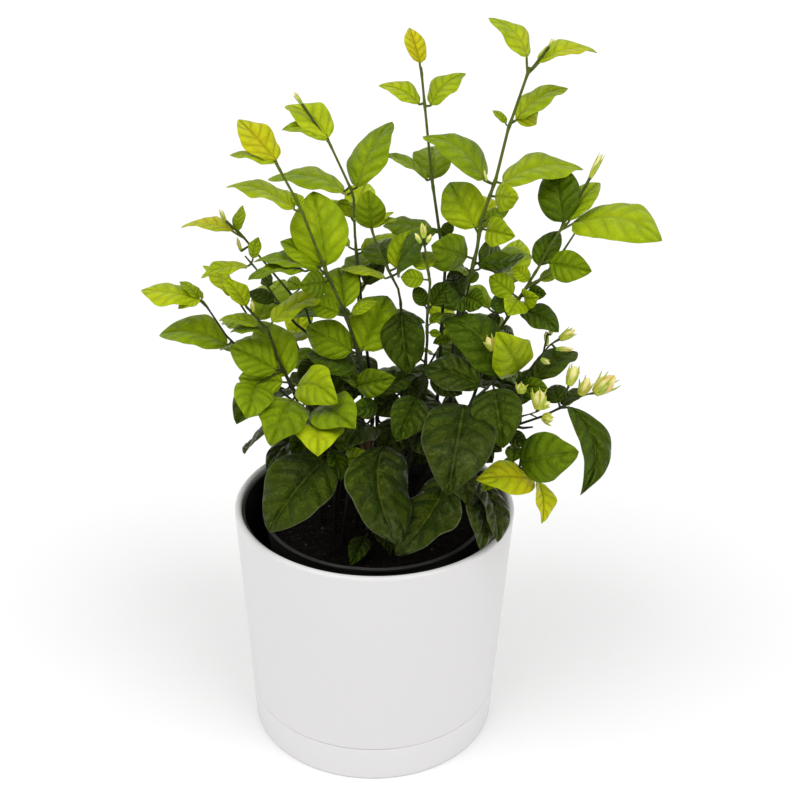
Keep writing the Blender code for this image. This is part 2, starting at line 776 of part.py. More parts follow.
class Blade:
    """One leaf: its heel on the stem, the base and tip of its blade, its width and the way it faces."""

    def __init__(self, heel, base, tip, normal, wide, age, fold, arch, bend, phase):
        self.heel, self.base, self.tip = heel, base, tip
        self.normal, self.wide, self.age = normal, wide, age
        self.fold, self.arch, self.bend, self.phase = fold, arch, bend, phase

    def axes(self):
        along = (self.tip - self.base).normalized()
        normal = (self.normal - along * self.normal.dot(along)).normalized()
        return along, along.cross(normal), normal

    def half_width(self, t):
        """Half the blade's width at a share t of its length: a slim blade is drawn to a point, widest
        below its middle, and a broad one is rounder."""
        broad = self.wide / (self.tip - self.base).length
        slim = min(1.0, max(0.0, (BROAD - broad) / (BROAD - SLIM)))
        full = 0.5 + 0.1 * slim + (0.14 + 0.3 * slim) * t
        return self.wide / 2 * max(0.0, math.sin(math.pi * t ** (0.9 - 0.12 * slim))) ** full

    def surface(self, s, t):
        """A point of the middle surface: s from -1 to 1 across, t from 0 to 1 along, and the petiole below 0."""
        if t < 0:
            _, side, _ = self.axes()
            return self.base.lerp(self.heel, -t) + side * s * (1 + t) * PETIOLE_WIDE / 2
        long = (self.tip - self.base).length
        along, side, normal = self.axes()
        half = max(self.half_width(t), PETIOLE_WIDE / 2 * (1 - t))
        swell = 4 * t * (1 - t)
        wave = math.sin(2 * math.pi * 1.6 * t + self.phase + (1.9 if s > 0 else 0.0))
        lift = self.fold * abs(s) * half - 0.12 * s * s * half
        lift += 0.028 * long * wave * s * s * min(1.0, swell * 1.5)
        return (
            self.base
            + along * long * t
            + side * (s * half + self.bend * long * swell)
            + normal * (self.arch * long * swell + lift)
        )

    def bent(self, shift, turn):
        """The same leaf, its tip shifted along the line of sight, so it looks alike, and turned on its axis."""
        ray = (self.tip - EYE).normalized()
        tip = self.tip + ray * shift
        along = (tip - self.base).normalized()
        normal = self.normal.copy()
        normal.rotate(Quaternion(along, math.radians(turn)))
        return Blade(
            self.heel, self.base, tip, normal, self.wide, self.age,
            self.fold, self.arch, self.bend, self.phase,
        )

    def rows(self):
        """The shares of the length at which a coarse blade has its rows: more on a longer one."""
        long = (self.tip - self.base).length
        if long > 0.044:
            return (-1.0, 0.0, 0.22, 0.48, 0.76, 1.0)
        if long > 0.026:
            return (-1.0, 0.0, 0.3, 0.66, 1.0)
        if long > 0.014:
            return (-1.0, 0.0, 0.45, 1.0)
        return (-1.0, 0.4, 1.0)

    def tree(self, thick, outer=False):
        """The coarse blade, thickened, to test whether it touches another: whole, or its outer part only."""
        rows = (0.3, 0.6, 1.0) if outer else self.rows()
        _, _, normal = self.axes()
        points = [
            self.surface(s, t) + normal * lift
            for lift in (-thick / 2, thick / 2)
            for t in rows
            for s in (-1.0, 0.0, 1.0)
        ]
        count = 3 * len(rows)
        faces = []
        for r in range(len(rows) - 1):
            for c in range(2):
                a = 3 * r + c
                for b in (a, a + count):
                    faces += [(b, b + 1, b + 4), (b, b + 4, b + 3)]
            for a in (3 * r, 3 * r + 2):
                faces += [(a, a + 3, a + 3 + count), (a, a + 3 + count, a + count)]
        return BVHTree.FromPolygons(points, faces)


def read_blade(leaf, paths, phase):
    """A leaf of the picture in space. It is as long as its width asks for, its tip lies on its own line of
    sight, and where the picture leaves two ways to tilt or to turn it, its upper face looks further up."""
    root = Vector(leaf.root)
    heel, off = nearest_on(paths, root)
    far = (heel - EYE).dot(FORWARD)
    size = far / FOCAL_PIXELS
    base = EYE + sight(root) * far
    if off < 4:
        start = EYE + sight(leaf.tip) * far
        base = heel + (start - heel).normalized() * min(PETIOLE, 0.2 * (start - heel).length)
    flat = EYE + sight(leaf.tip) * far
    long_seen = (flat - base).length
    wide_seen = leaf.wide * size
    long = max(long_seen * 1.02, wide_seen / leaf.lean)
    wide = max(leaf.lean * long, wide_seen)
    ray = sight(leaf.tip).normalized()
    middle = (base - EYE).dot(ray)
    gap = (EYE + ray * middle - base).length
    reach = math.sqrt(max(0.0, long**2 - gap**2))
    found = []
    for way in (-1, 1):
        tip = EYE + ray * (middle + way * reach)
        along = (tip - base).normalized()
        look = (base.lerp(tip, 0.5) - EYE).normalized()
        facing = -(look - along * look.dot(along)).normalized()
        angle = math.acos(min(1.0, wide_seen / wide))
        for turn in (-1, 1):
            normal = facing.copy()
            normal.rotate(Quaternion(along, turn * angle))
            wrong = (leaf.toward and way == leaf.toward) + (leaf.side and turn != leaf.side)
            found.append((-wrong, normal.z, way, turn, tip, normal))
    _, _, _, _, tip, normal = max(found, key=lambda f: f[:4])
    return Blade(
        heel, base, tip, normal, wide, leaf.age, leaf.fold, leaf.arch, leaf.bend, phase
    )


def trunk_path():
    """The old trunk's path: straight up out of the soil, then leaning to its cut top."""
    foot = Vector((*TRUNK_FOOT, STEM_FOOT))
    collar = Vector((*TRUNK_FOOT, SOIL_TOP + 0.004))
    top = place(TRUNK_TOP_PIXEL, TRUNK_TOP_DEPTH)
    return [foot, collar, collar.lerp(top, 0.5) + Vector((0.0015, 0, 0)), top]


def back_path(stem):
    """The path of a back stem: straight up out of the soil, then bowed out to its top."""
    foot = Vector((stem.foot[0] / 1000, stem.foot[1] / 1000, SOIL_TOP))
    top = Vector(stem.top) / 1000
    knee = foot.lerp(top, BACK_KNEE[0]) + Vector((0, 0, BACK_KNEE[1]))
    return rooted_path(stem.foot, [knee, top])


def back_blades(stem, path):
    """Leaves in crossed pairs up a back stem, smaller and younger towards its top."""
    draw = random.Random(stem.seed)
    blades = []
    for pair in range(stem.pairs + 1):
        up = pair / stem.pairs
        share = BACK_BARE + (1 - BACK_BARE) * up
        heel = path[min(len(path) - 3, round(share * (len(path) - 1)))]
        age, long, rise = (a + (b - a) * up for a, b in (BACK_AGE, BACK_LONG, BACK_CLIMB))
        for half in (0, 1):
            way = math.radians(stem.seed * 31 + 90 * pair + 180 * half + draw.uniform(-16, 16))
            climb = math.radians(rise + draw.uniform(-10, 10))
            outward = Vector((math.cos(way), math.sin(way), 0))
            along = outward * math.cos(climb) + Vector((0, 0, math.sin(climb)))
            normal = Vector((0, 0, math.cos(climb))) - outward * math.sin(climb)
            size = long * draw.uniform(0.85, 1.12)
            base = heel + along * PETIOLE
            blades.append(
                Blade(
                    heel, base, base + along * size, normal, size * 0.64, age, 0.2, 0.09,
                    draw.uniform(-0.05, 0.05), draw.uniform(0, 6.28),
                )
            )
    return blades


def in_pot(blade):
    """Whether a blade reaches into the soil, a rim or a wall of the pots."""
    for t in blade.rows():
        for s in (-1.0, 0.0, 1.0):
            point = blade.surface(s, t)
            out = math.hypot(point.x, point.y)
            if t < 0 and point.z > SOIL_TOP + STEM_FREE:
                continue
            if any(point.z < low and out > near for low, near in POT_LIMITS):
                return True
    return False


def bend_order():
    """The ways to bend a leaf clear, the smallest first: tip shifts in metres and turns in degrees."""
    ways = [
        (shift / 1000, turn)
        for shift in (0, 4, -4, 8, -8, 12, -12, 17, -17, 23, -23, 30, -30)
        for turn in (0, 12, -12, 24, -24, 38, -38)
    ]
    return sorted(ways, key=lambda w: abs(w[0]) * 1000 + abs(w[1]) * 0.4)


def stem_tree(path, radius):
    """A stem's clearance tube, three-sided, for asking whether a leaf touches it."""
    points = []
    faces = []
    thin = path[::4] + [path[-1]] if len(path) > 4 else path
    for i, point in enumerate(thin):
        along = (thin[min(i + 1, len(thin) - 1)] - thin[max(i - 1, 0)]).normalized()
        side = along.orthogonal().normalized()
        for corner in range(3):
            spoke = side.copy()
            spoke.rotate(Quaternion(along, math.radians(120 * corner)))
            points.append(point + spoke * radius * 1.5)
        if i:
            for corner in range(3):
                a, b = 3 * i + corner, 3 * i + (corner + 1) % 3
                faces += [(a - 3, b - 3, b), (a - 3, b, a)]
    return BVHTree.FromPolygons(points, faces)


Plant = namedtuple("Plant", "girth paths blades buds spray")
SetBud = namedtuple("SetBud", "heel neck tip radius sepals blush")


def set_bud(bud, paths):
    """A bud of the picture in space, as far off as the stem that it hangs on, give or take its own depth."""
    heel, _ = nearest_on(paths, bud.neck)
    far = (heel - EYE).dot(FORWARD) + bud.depth / 1000
    neck, tip = (EYE + sight(pixel) * far for pixel in (bud.neck, bud.tip))
    return SetBud(heel, neck, tip, bud.wide * far / FOCAL_PIXELS / 2, bud.sepals, bud.blush)


def seat_off(parent, seat, way, girth):
    """How far out along its way a spray starts, to stand a hair clear of the stem's side or of its end."""
    path = min(parent.paths, key=lambda path: min((p - seat).length for p in path))
    last = len(path) - 1
    i = min(range(last + 1), key=lambda i: (path[i] - seat).length)
    along = (path[min(i + 1, last)] - path[max(i - 1, 0)]).normalized()
    radius = parent.girth * (1 - STEM_TAPER * i / last)
    cosine = way.dot(along)
    sine = math.sqrt(1 - min(cosine**2, 0.999))
    off = (radius + SEAT_GAP + girth * abs(cosine)) / sine
    if i == last and cosine > 0:
        off = min(off, (SEAT_GAP + girth * sine) / cosine)
    return off


def spray_paths(spray, parent):
    """A spray's stems. The first starts a hair off the side or the end of the stem that carries it."""
    paths = []
    for stem in spray.stems:
        points = [place((x, y), depth / 1000) for x, y, depth in stem]
        if paths:
            points[0] = nearest_on(paths, seen_at(points[0]))[0]
        else:
            seat = nearest_on(parent.paths, seen_at(points[0]), 0)[0]
            way = (points[1] - seat).normalized()
            points[0] = seat + way * seat_off(parent, seat, way, spray.girth / 1000)
        paths.append(straightened(smooth_path(points, SAMPLE_STEP / 2)))
    return paths


def read_plants():
    """Every stem and spray as read off the picture, and the back stems by rule, before any leaf is bent."""
    plants = {}
    for number, shoot in enumerate(SHOOTS):
        paths = stem_paths(shoot)
        blades = [
            read_blade(leaf, paths, number * 1.7 + i * 2.4)
            for i, leaf in enumerate(shoot.leaves)
        ]
        buds = [set_bud(bud, paths) for bud in shoot.buds]
        plants[shoot.name] = Plant(shoot.girth / 1000, paths, blades, buds, False)
    for spray in SPRAYS:
        paths = spray_paths(spray, plants[spray.on])
        buds = [set_bud(bud, paths) for bud in spray.buds]
        plants[spray.name] = Plant(spray.girth / 1000, paths, [], buds, True)
    for stem in BACK_STEMS:
        path = back_path(stem)
        plants[stem.name] = Plant(BACK_GIRTH, [path], back_blades(stem, path), [], False)
    return plants


def touches(tried, name, stems, standing):
    """How badly a leaf touches others: ten for each of another plant, one for each of its own."""
    whole, outer = tried.tree(CLEAR_THICK), tried.tree(CLEAR_THICK, outer=True)
    hits = 100 * in_pot(tried)
    for other, trees in stems.items():
        mine = outer if other == name else whole
        weight = 1 if other == name else 10
        hits += weight * sum(bool(mine.overlap(tree)) for tree in trees)
    for other, trees in standing.items():
        for other_whole, other_outer in trees:
            if other == name:
                hits += bool(outer.overlap(other_outer))
            else:
                hits += 10 * bool(whole.overlap(other_whole))
    return hits, (whole, outer)


def grow():
    """All stems, leaves and buds. Each leaf is bent clear of what stands, or else left out."""
    plants = read_plants()
    stems = {"old_trunk": [stem_tree(trunk_path(), TRUNK_RADIUS)]}
    for name, plant in plants.items():
        stems[name] = [stem_tree(path, plant.girth) for path in plant.paths]
        for bud in plant.buds:
            stems[name].append(stem_tree([bud.heel, bud.neck], BUD_STALK))
            stems[name].append(stem_tree([bud.neck, bud.tip], bud.radius))
    standing = {name: [] for name in plants}
    for name, plant in plants.items():
        for blade in plant.blades[:]:
            best = (1000, None, None)
            for shift, turn in bend_order():
                tried = blade.bent(shift, turn)
                hits, trees = touches(tried, name, stems, standing)
                if hits < best[0]:
                    best = (hits, tried, trees)
                if not hits:
                    break
            place_in_list = plant.blades.index(blade)
            if best[0] < 10:
                plant.blades[place_in_list] = best[1]
                standing[name].append(best[2])
            else:
                plant.blades.remove(blade)
    return plants


def clear_scene():
    """Take away whatever the scene holds."""
    for obj in list(bpy.data.objects):
        bpy.data.objects.remove(obj, do_unlink=True)


def collection(name):
    """A new collection linked to the scene."""
    made = bpy.data.collections.new(name)
    bpy.context.scene.collection.children.link(made)
    return made


def material(name, colour, roughness):
    """A plain Principled material."""
    made = bpy.data.materials.new(name)
    made.use_nodes = True
    shader = made.node_tree.nodes["Principled BSDF"]
    shader.inputs["Base Color"].default_value = (*colour, 1.0)
    shader.inputs["Roughness"].default_value = roughness
    shader.inputs["Metallic"].default_value = 0.0
    made.diffuse_color = (*colour, 1.0)
    return made


def add_object(name, mesh, group, finish=None):
    """A new object in a collection, with its material."""
    obj = bpy.data.objects.new(name, mesh)
    group.objects.link(obj)
    if finish:
        mesh.materials.clear()
        mesh.materials.append(finish)
    return obj


def as_mesh(obj):
    """A new mesh of an object as its modifiers leave it, with loose caps welded."""
    bpy.context.view_layer.update()
    shown = obj.evaluated_get(bpy.context.evaluated_depsgraph_get())
    mesh = bpy.data.meshes.new_from_object(shown)
    welded = bmesh.new()
    welded.from_mesh(mesh)
    bmesh.ops.remove_doubles(welded, verts=welded.verts, dist=1e-6)
    welded.to_mesh(mesh)
    welded.free()
    return mesh


def arc(centre, radius, start, end, count):
    """Points on an arc in the profile plane, angles in degrees from +X."""
    angles = [math.radians(start + (end - start) * i / count) for i in range(count + 1)]
    return [
        (centre[0] + radius * math.cos(a), centre[1] + radius * math.sin(a))
        for a in angles
    ]


def turned(name, profile, group, finish, ring=False):
    """A turned piece: its profile, down the outer side, spun round Z. A ring's profile closes on itself."""
    edges = [(i, i + 1) for i in range(len(profile) - 1)]
    if ring:
        edges.append((len(profile) - 1, 0))
    mesh = bpy.data.meshes.new(name)
    mesh.from_pydata([(r, 0, z) for r, z in profile], edges, [])
    obj = add_object(name, mesh, group, finish)
    spin = obj.modifiers.new("Spin", "SCREW")
    spin.axis = "Z"
    spin.steps = spin.render_steps = SEGMENTS
    spin.use_merge_vertices = True
    spin.merge_threshold = 0.00001
    spin.use_smooth_shade = True
    return obj


def outer_radius(z):
    """The planter's outer radius at a height: one straight taper from the saucer's foot to the rim."""
    return PLANTER_FOOT_RADIUS + (PLANTER_RIM_RADIUS - PLANTER_FOOT_RADIUS) * z / PLANTER_TOP


def nursery_radius(z):
    """The nursery pot's outer radius at a height below its rolled rim."""
    share = (z - NURSERY_FOOT) / (NURSERY_TOP - NURSERY_FOOT)
    under_rim = NURSERY_RIM_RADIUS - 2 * NURSERY_ROLL + NURSERY_WALL
    return NURSERY_FOOT_RADIUS + (under_rim - NURSERY_FOOT_RADIUS) * share


def make_saucer(group, white):
    """The base band: a shallow dish whose top edge carries the planter."""
    top = SEAM_HEIGHT - GAP
    inside = outer_radius(top) - SAUCER_WALL
    edge_middle = (outer_radius(0) - SAUCER_EDGE, SAUCER_EDGE)
    profile = [
        (0, SAUCER_FLOOR),
        (inside - SAUCER_FILLET, SAUCER_FLOOR),
        (inside, SAUCER_FLOOR + SAUCER_FILLET),
        (inside, top),
        (outer_radius(top), top),
        *arc(edge_middle, SAUCER_EDGE, 0, -90, 2),
        (0, 0),
    ]
    return turned("planter_saucer", profile, group, white)


def make_planter(group, white):
    """The outer pot: a tapered shell with a round rim, a floor with a drain, and a spigot in the saucer."""
    half = PLANTER_WALL / 2
    floor = SEAM_HEIGHT + PLANTER_FLOOR
    rim_middle = (PLANTER_RIM_RADIUS - half, PLANTER_TOP - half)
    spigot = outer_radius(SEAM_HEIGHT) - SAUCER_WALL - 2 * GAP
    profile = [
        (DRAIN_RADIUS, floor),
        (outer_radius(floor) - PLANTER_WALL, floor),
        *arc(rim_middle, half, 180, 0, 4),
        (outer_radius(SEAM_HEIGHT), SEAM_HEIGHT),
        (spigot, SEAM_HEIGHT),
        (spigot, SEAM_HEIGHT - SPIGOT_DEPTH),
        (spigot - SPIGOT_WALL, SEAM_HEIGHT - SPIGOT_DEPTH),
        (spigot - SPIGOT_WALL, SEAM_HEIGHT),
        (DRAIN_RADIUS, SEAM_HEIGHT),
    ]
    return turned("planter", profile, group, white, ring=True)


def make_liner(group, black):
    """The liner: a thin black pot just inside the planter's wall, with its own drain."""
    foot = SEAM_HEIGHT + PLANTER_FLOOR + GAP
    outer = [outer_radius(z) - PLANTER_WALL - GAP for z in (foot, LINER_TOP)]
    profile = [
        (DRAIN_RADIUS, foot + LINER_WALL),
        (outer[0] - LINER_WALL, foot + LINER_WALL),
        (outer[1] - LINER_WALL, LINER_TOP),
        (outer[1], LINER_TOP),
        (outer[0], foot),
        (DRAIN_RADIUS, foot),
    ]
    return turned("planter_liner", profile, group, black, ring=True)


def make_nursery_pot(group, black):
    """The grower's pot: thin, tapered, with a rolled rim, standing on the liner's floor."""
    bead = (NURSERY_RIM_RADIUS - NURSERY_ROLL, NURSERY_TOP - NURSERY_ROLL)
    profile = [
        (DRAIN_RADIUS, NURSERY_FOOT + NURSERY_WALL),
        (NURSERY_FOOT_RADIUS - NURSERY_WALL, NURSERY_FOOT + NURSERY_WALL),
        *arc(bead, NURSERY_ROLL, 180, -45, 4),
        (nursery_radius(bead[1] - NURSERY_ROLL), bead[1] - NURSERY_ROLL),
        (NURSERY_FOOT_RADIUS, NURSERY_FOOT),
        (DRAIN_RADIUS, NURSERY_FOOT),
    ]
    return turned("nursery_pot", profile, group, black, ring=True)


def soil_height(x, y):
    """The height of the soil's crumbly top."""
    rough = noise.noise(Vector((x, y, 0)) * 55) + 0.6 * noise.noise(Vector((x, y, 0.3)) * 130)
    return SOIL_TOP + SOIL_RISE * rough


def make_soil(group, cutters, feet):
    """The potting soil: it fills the nursery pot, is uneven on top, and has a plain hole for each stem."""
    dark = material("potting_mix", (0.022, 0.014, 0.009), 0.95)
    foot = NURSERY_FOOT + NURSERY_WALL + GAP
    inset = NURSERY_WALL + 2 * GAP
    edge = nursery_radius(SOIL_TOP) - inset
    profile = [(edge * share, SOIL_TOP) for share in (0, 0.3, 0.64, 1)]
    profile += [(nursery_radius(foot) - inset, foot), (0, foot)]
    draft = turned("soil_draft", profile, group, dark)
    mesh = as_mesh(draft)
    bpy.data.objects.remove(draft, do_unlink=True)
    for vert in mesh.vertices:
        if abs(vert.co.z - SOIL_TOP) < GAP:
            vert.co.z = soil_height(vert.co.x, vert.co.y)
    soil = add_object("potting_soil", mesh, group, dark)
    for number, (x, y, radius) in enumerate(feet):
        drill = bmesh.new()
        deep = SOIL_TOP + 2 * SOIL_RISE + GAP - STEM_FOOT
        middle = Matrix.Translation((x, y, STEM_FOOT - GAP + deep / 2))
        wide = (radius + GAP) / math.cos(math.pi / HOLE_SIDES)
        bmesh.ops.create_cone(
            drill, cap_ends=True, segments=HOLE_SIDES, radius1=wide, radius2=wide,
            depth=deep, matrix=middle,
        )
        drill_mesh = bpy.data.meshes.new("stem_hole")
        drill.to_mesh(drill_mesh)
        drill.free()
        cutter = add_object(f"stem_hole_{number:02d}", drill_mesh, cutters)
        cutter.hide_render = True
        cutter.display_type = "WIRE"
    holes = soil.modifiers.new("Stem holes", "BOOLEAN")
    holes.operation = "DIFFERENCE"
    holes.operand_type = "COLLECTION"
    holes.collection = cutters
    holes.solver = "EXACT"
    return soil


def tube(name, path, radii, group, resolution):
    """A stem or twig: a bevelled curve along a path, made a closed mesh."""
    curve = bpy.data.curves.new(name, "CURVE")
    curve.dimensions = "3D"
    curve.bevel_depth = 1.0
    curve.bevel_resolution = resolution
    curve.use_fill_caps = True
    line = curve.splines.new("POLY")
    line.points.add(len(path) - 1)
    for point, place_, radius in zip(line.points, path, radii):
        point.co = (*place_, 1.0)
        point.radius = radius
    draft = bpy.data.objects.new(name, curve)
    group.objects.link(draft)
    mesh = as_mesh(draft)
    bpy.data.objects.remove(draft, do_unlink=True)
    return add_object(name, mesh, group)


def stem_tube(name, path, girth, group):
    """A stem's tube: as few points as its bends need, tapering to its tip."""
    last = len(path) - 1
    picks = key_points(path, ON_LINE)
    radii = [girth * (1 - STEM_TAPER * i / last) for i in picks]
    return tube(name, [path[i] for i in picks], radii, group, 0)


def blade_sheet(name, blade, group):
    """A leaf: a grid laid on the blade's form, drawn to a point at both ends, split and thickened."""
    rows = blade.rows()
    grid = bmesh.new()
    bmesh.ops.create_grid(grid, x_segments=2, y_segments=len(rows) - 1, size=1)
    drawn = {}
    for vert in grid.verts:
        row = round((vert.co.y + 1) / 2 * (len(rows) - 1))
        side = round(vert.co.x)
        if rows[row] in (-1.0, 1.0):
            drawn.setdefault((row, 0), []).append(vert)
        elif rows[row] == 0.0 and side < 1:
            drawn.setdefault((row, -1), []).append(vert)
        vert.co = blade.surface(side, rows[row])
    for (row, side), verts in drawn.items():
        bmesh.ops.pointmerge(grid, verts=verts, merge_co=blade.surface(side, rows[row]))
    bmesh.ops.triangulate(grid, faces=grid.faces)
    mesh = bpy.data.meshes.new(name)
    grid.to_mesh(mesh)
    grid.free()
    obj = add_object(name, mesh, group)
    thick = obj.modifiers.new("Blade thickness", "SOLIDIFY")
    thick.thickness = LEAF_THICK
    thick.offset = 0
    return obj


def shaped(name, make, group):
    """A small closed shape that make(bmesh) fills."""
    shape = bmesh.new()
    make(shape)
    mesh = bpy.data.meshes.new(name)
    shape.to_mesh(mesh)
    shape.free()
    return add_object(name, mesh, group)


def spike(name, root, point, wide, narrow, group):
    """A thin three-sided rod from a root to a point."""
    along = point - root
    turn = along.to_track_quat("Z", "Y").to_matrix().to_4x4()
    middle = Matrix.Translation(root.lerp(point, 0.5)) @ turn

    def rod(shape):
        bmesh.ops.create_cone(
            shape, cap_ends=True, segments=3, radius1=wide, radius2=narrow,
            depth=along.length, matrix=middle,
        )

    return shaped(name, rod, group)


def bud_shapes(bud, group):
    """A bud: its thin stalk, its plump body and the narrow sepals round it."""
    axis = (bud.tip - bud.neck).normalized()
    turn = axis.to_track_quat("Z", "Y").to_matrix().to_4x4()
    long = (bud.tip - bud.neck).length
    middle = Matrix.Translation(bud.neck.lerp(bud.tip, 0.5)) @ turn
    size = Matrix.Diagonal((bud.radius, bud.radius, long / 2, 1))

    def body(shape):
        bmesh.ops.create_uvsphere(
            shape, u_segments=5, v_segments=3, radius=1, matrix=middle @ size
        )

    made = [shaped("bud", body, group)]
    stalk_end = bud.neck + axis * long * 0.2
    made.append(spike("stalk", bud.heel, stalk_end, BUD_STALK, BUD_STALK, group))
    count = min(bud.sepals // 2, MOST_SEPALS)
    for i in range(count):
        outward = axis.orthogonal().normalized()
        outward.rotate(Quaternion(axis, math.tau * (i + 0.25) / count))
        root = bud.neck + axis * long * 0.2 + outward * bud.radius * 0.2
        point = bud.neck + axis * long * SEPAL_REACH + outward * bud.radius * 1.25
        made.append(spike("sepal", root, point, SEPAL_WIDE, SEPAL_WIDE * 0.4, group))
    return made


def fused(name, shapes, group, finish, growth):
    """One closed body of all the shapes: a Boolean union at a scale where thin edges stay apart."""
    grown = []
    for shape in shapes:
        mesh = as_mesh(shape)
        mesh.transform(Matrix.Scale(UNION_SCALE, 4))
        grown.append(add_object(name, mesh, growth))
        bpy.data.objects.remove(shape, do_unlink=True)
    base = grown[0]
    if len(grown) > 1:
        join = base.modifiers.new("Grown together", "BOOLEAN")
        join.operation = "UNION"
        join.operand_type = "COLLECTION"
        join.collection = growth
        join.solver = "MANIFOLD"
        growth.objects.unlink(base)
        group.objects.link(base)
    mesh = as_mesh(base)
    for obj in grown:
        bpy.data.objects.remove(obj, do_unlink=True)
    mesh.transform(Matrix.Scale(1 / UNION_SCALE, 4))
    mesh.name = name
    return add_object(name, mesh, group, finish)


def make_stem(name, plant, group, growth, finish):
    """A leafy stem: its stems, leaves and own buds fused in one body."""
    shapes = [
        stem_tube("stem", path, plant.girth * (1 if i == 0 else BRANCH_GIRTH), growth)
        for i, path in enumerate(plant.paths)
    ]
    shapes += [
        blade_sheet("leaf", blade, growth)
        for blade in plant.blades
        if (blade.tip - blade.base).length > SMALLEST_LEAF
    ]
    for bud in plant.buds:
        shapes += bud_shapes(bud, growth)
    return fused(name, shapes, group, finish, growth)


def make_trunk(group):
    """The old trunk: a woody stub cut off above the soil."""
    bark = material("old_bark", (0.16, 0.075, 0.035), 0.85)
    radii = [TRUNK_RADIUS, TRUNK_RADIUS, TRUNK_RADIUS * 0.95, TRUNK_RADIUS * 1.05]
    trunk = tube("old_trunk", trunk_path(), radii, group, 2)
    trunk.data.materials.append(bark)
    return trunk


def main():
    """Build the planter, what stands in it, and the plant."""
    clear_scene()
    parts = collection("potted_arabian_jasmine")
    cutters = collection("cutters")
    cutters.hide_render = True
    growth = collection("growth")
    white = material("white_plastic", (0.78, 0.77, 0.77), 0.4)
    black = material("black_plastic", (0.012, 0.012, 0.01), 0.5)
    leaf_green = material("leaf_green", (0.16, 0.3, 0.03), 0.4)
    bud_cream = material("bud_cream", (0.75, 0.68, 0.28), 0.5)
    make_saucer(parts, white)
    make_planter(parts, white)
    make_liner(parts, black)
    make_nursery_pot(parts, black)
    plants = grow()
    feet = [(*TRUNK_FOOT, TRUNK_RADIUS)]
    for name, plant in plants.items():
        finish = bud_cream if plant.spray else leaf_green
        make_stem(name, plant, parts, growth, finish)
        if not plant.spray:
            foot = plant.paths[0][0]
            feet.append((foot.x, foot.y, plant.girth))
    bpy.data.collections.remove(growth)
    make_trunk(parts)
    make_soil(parts, cutters, feet)


main()
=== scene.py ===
"""Looks of a potted arabian jasmine: leafy stems with bud sprays in potting soil, in a round white planter.

Units are metres, +Z up, the origin under the middle of the saucer. The plant's stems, leaves and buds are
read off a picture as pixels with a depth in millimetres, and each is set in space along its own line of
sight, the same way as the solids of the frame, which the finer pieces made here stand for.
"""

import math
import random
from collections import namedtuple

import bmesh
import bpy
from bpy.props import FloatProperty, FloatVectorProperty, IntProperty, PointerProperty
from bpy.types import Operator, Panel, PropertyGroup
from mathutils import Matrix, Quaternion, Vector, noise
from mathutils.bvhtree import BVHTree
from mathutils.kdtree import KDTree


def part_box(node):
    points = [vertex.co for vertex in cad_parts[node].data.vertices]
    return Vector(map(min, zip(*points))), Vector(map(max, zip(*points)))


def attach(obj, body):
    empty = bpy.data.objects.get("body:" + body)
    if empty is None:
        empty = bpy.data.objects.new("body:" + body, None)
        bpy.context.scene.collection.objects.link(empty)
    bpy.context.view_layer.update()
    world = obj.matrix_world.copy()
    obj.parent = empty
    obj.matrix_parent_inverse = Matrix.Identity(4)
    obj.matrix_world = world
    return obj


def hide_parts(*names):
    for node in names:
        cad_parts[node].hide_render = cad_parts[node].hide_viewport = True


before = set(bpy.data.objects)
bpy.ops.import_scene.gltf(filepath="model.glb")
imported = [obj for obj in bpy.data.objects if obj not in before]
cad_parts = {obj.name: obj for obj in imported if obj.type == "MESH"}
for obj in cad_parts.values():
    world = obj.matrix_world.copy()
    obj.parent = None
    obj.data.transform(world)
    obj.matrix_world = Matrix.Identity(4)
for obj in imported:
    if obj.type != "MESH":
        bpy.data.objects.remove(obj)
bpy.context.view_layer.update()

bl_info = {
    "name": "Potted Arabian Jasmine",
    "version": (1, 0, 0),
    "blender": (4, 5, 0),
    "location": "3D View > Sidebar > Jasmine",
    "description": "Builds a potted arabian jasmine, its planter and a studio stage",
    "category": "Add Mesh",
}

BODY = "root"

# The pots' sizes, as in the frame.
GAP = 0.0003
PLANTER_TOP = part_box("planter")[1].z
PLANTER_RIM_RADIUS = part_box("planter")[1].x
PLANTER_FOOT_RADIUS = 0.0838
PLANTER_WALL = 0.0046
PLANTER_FLOOR = 0.0044
SEAM_HEIGHT = 0.0263
DRAIN_RADIUS = 0.008
SAUCER_FLOOR = 0.004
SAUCER_WALL = 0.0042
SAUCER_EDGE = 0.0016
SAUCER_FILLET = 0.003
SPIGOT_DEPTH = 0.006
SPIGOT_WALL = 0.003
LINER_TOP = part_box("planter_liner")[1].z
LINER_WALL = 0.0016
NURSERY_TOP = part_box("nursery_pot")[1].z
NURSERY_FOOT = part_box("nursery_pot")[0].z
NURSERY_RIM_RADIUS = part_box("nursery_pot")[1].x
NURSERY_ROLL = 0.0014
NURSERY_FOOT_RADIUS = 0.057
NURSERY_WALL = 0.0013

# The plant's growth, as in the frame.
BACK_GIRTH = 0.0016
STEM_TAPER = 0.5
BRANCH_GIRTH = 0.8
SEAT_GAP = 0.0004
BUD_STALK = 0.0008

# Readings of the picture. Pixels are in its 800 x 800 frame, depths in mm away from the pot's middle.
Leaf = namedtuple(
    "Leaf",
    "root tip wide age fold arch bend toward side lean",
    defaults=(0.5, 0.2, 0.08, 0.0, 0, 0, 0.66),
)
Bud = namedtuple("Bud", "neck tip wide depth sepals blush", defaults=(0, 5, 0.0))
Shoot = namedtuple("Shoot", "name foot girth stems leaves buds", defaults=((),))
Spray = namedtuple("Spray", "name on girth stems buds")

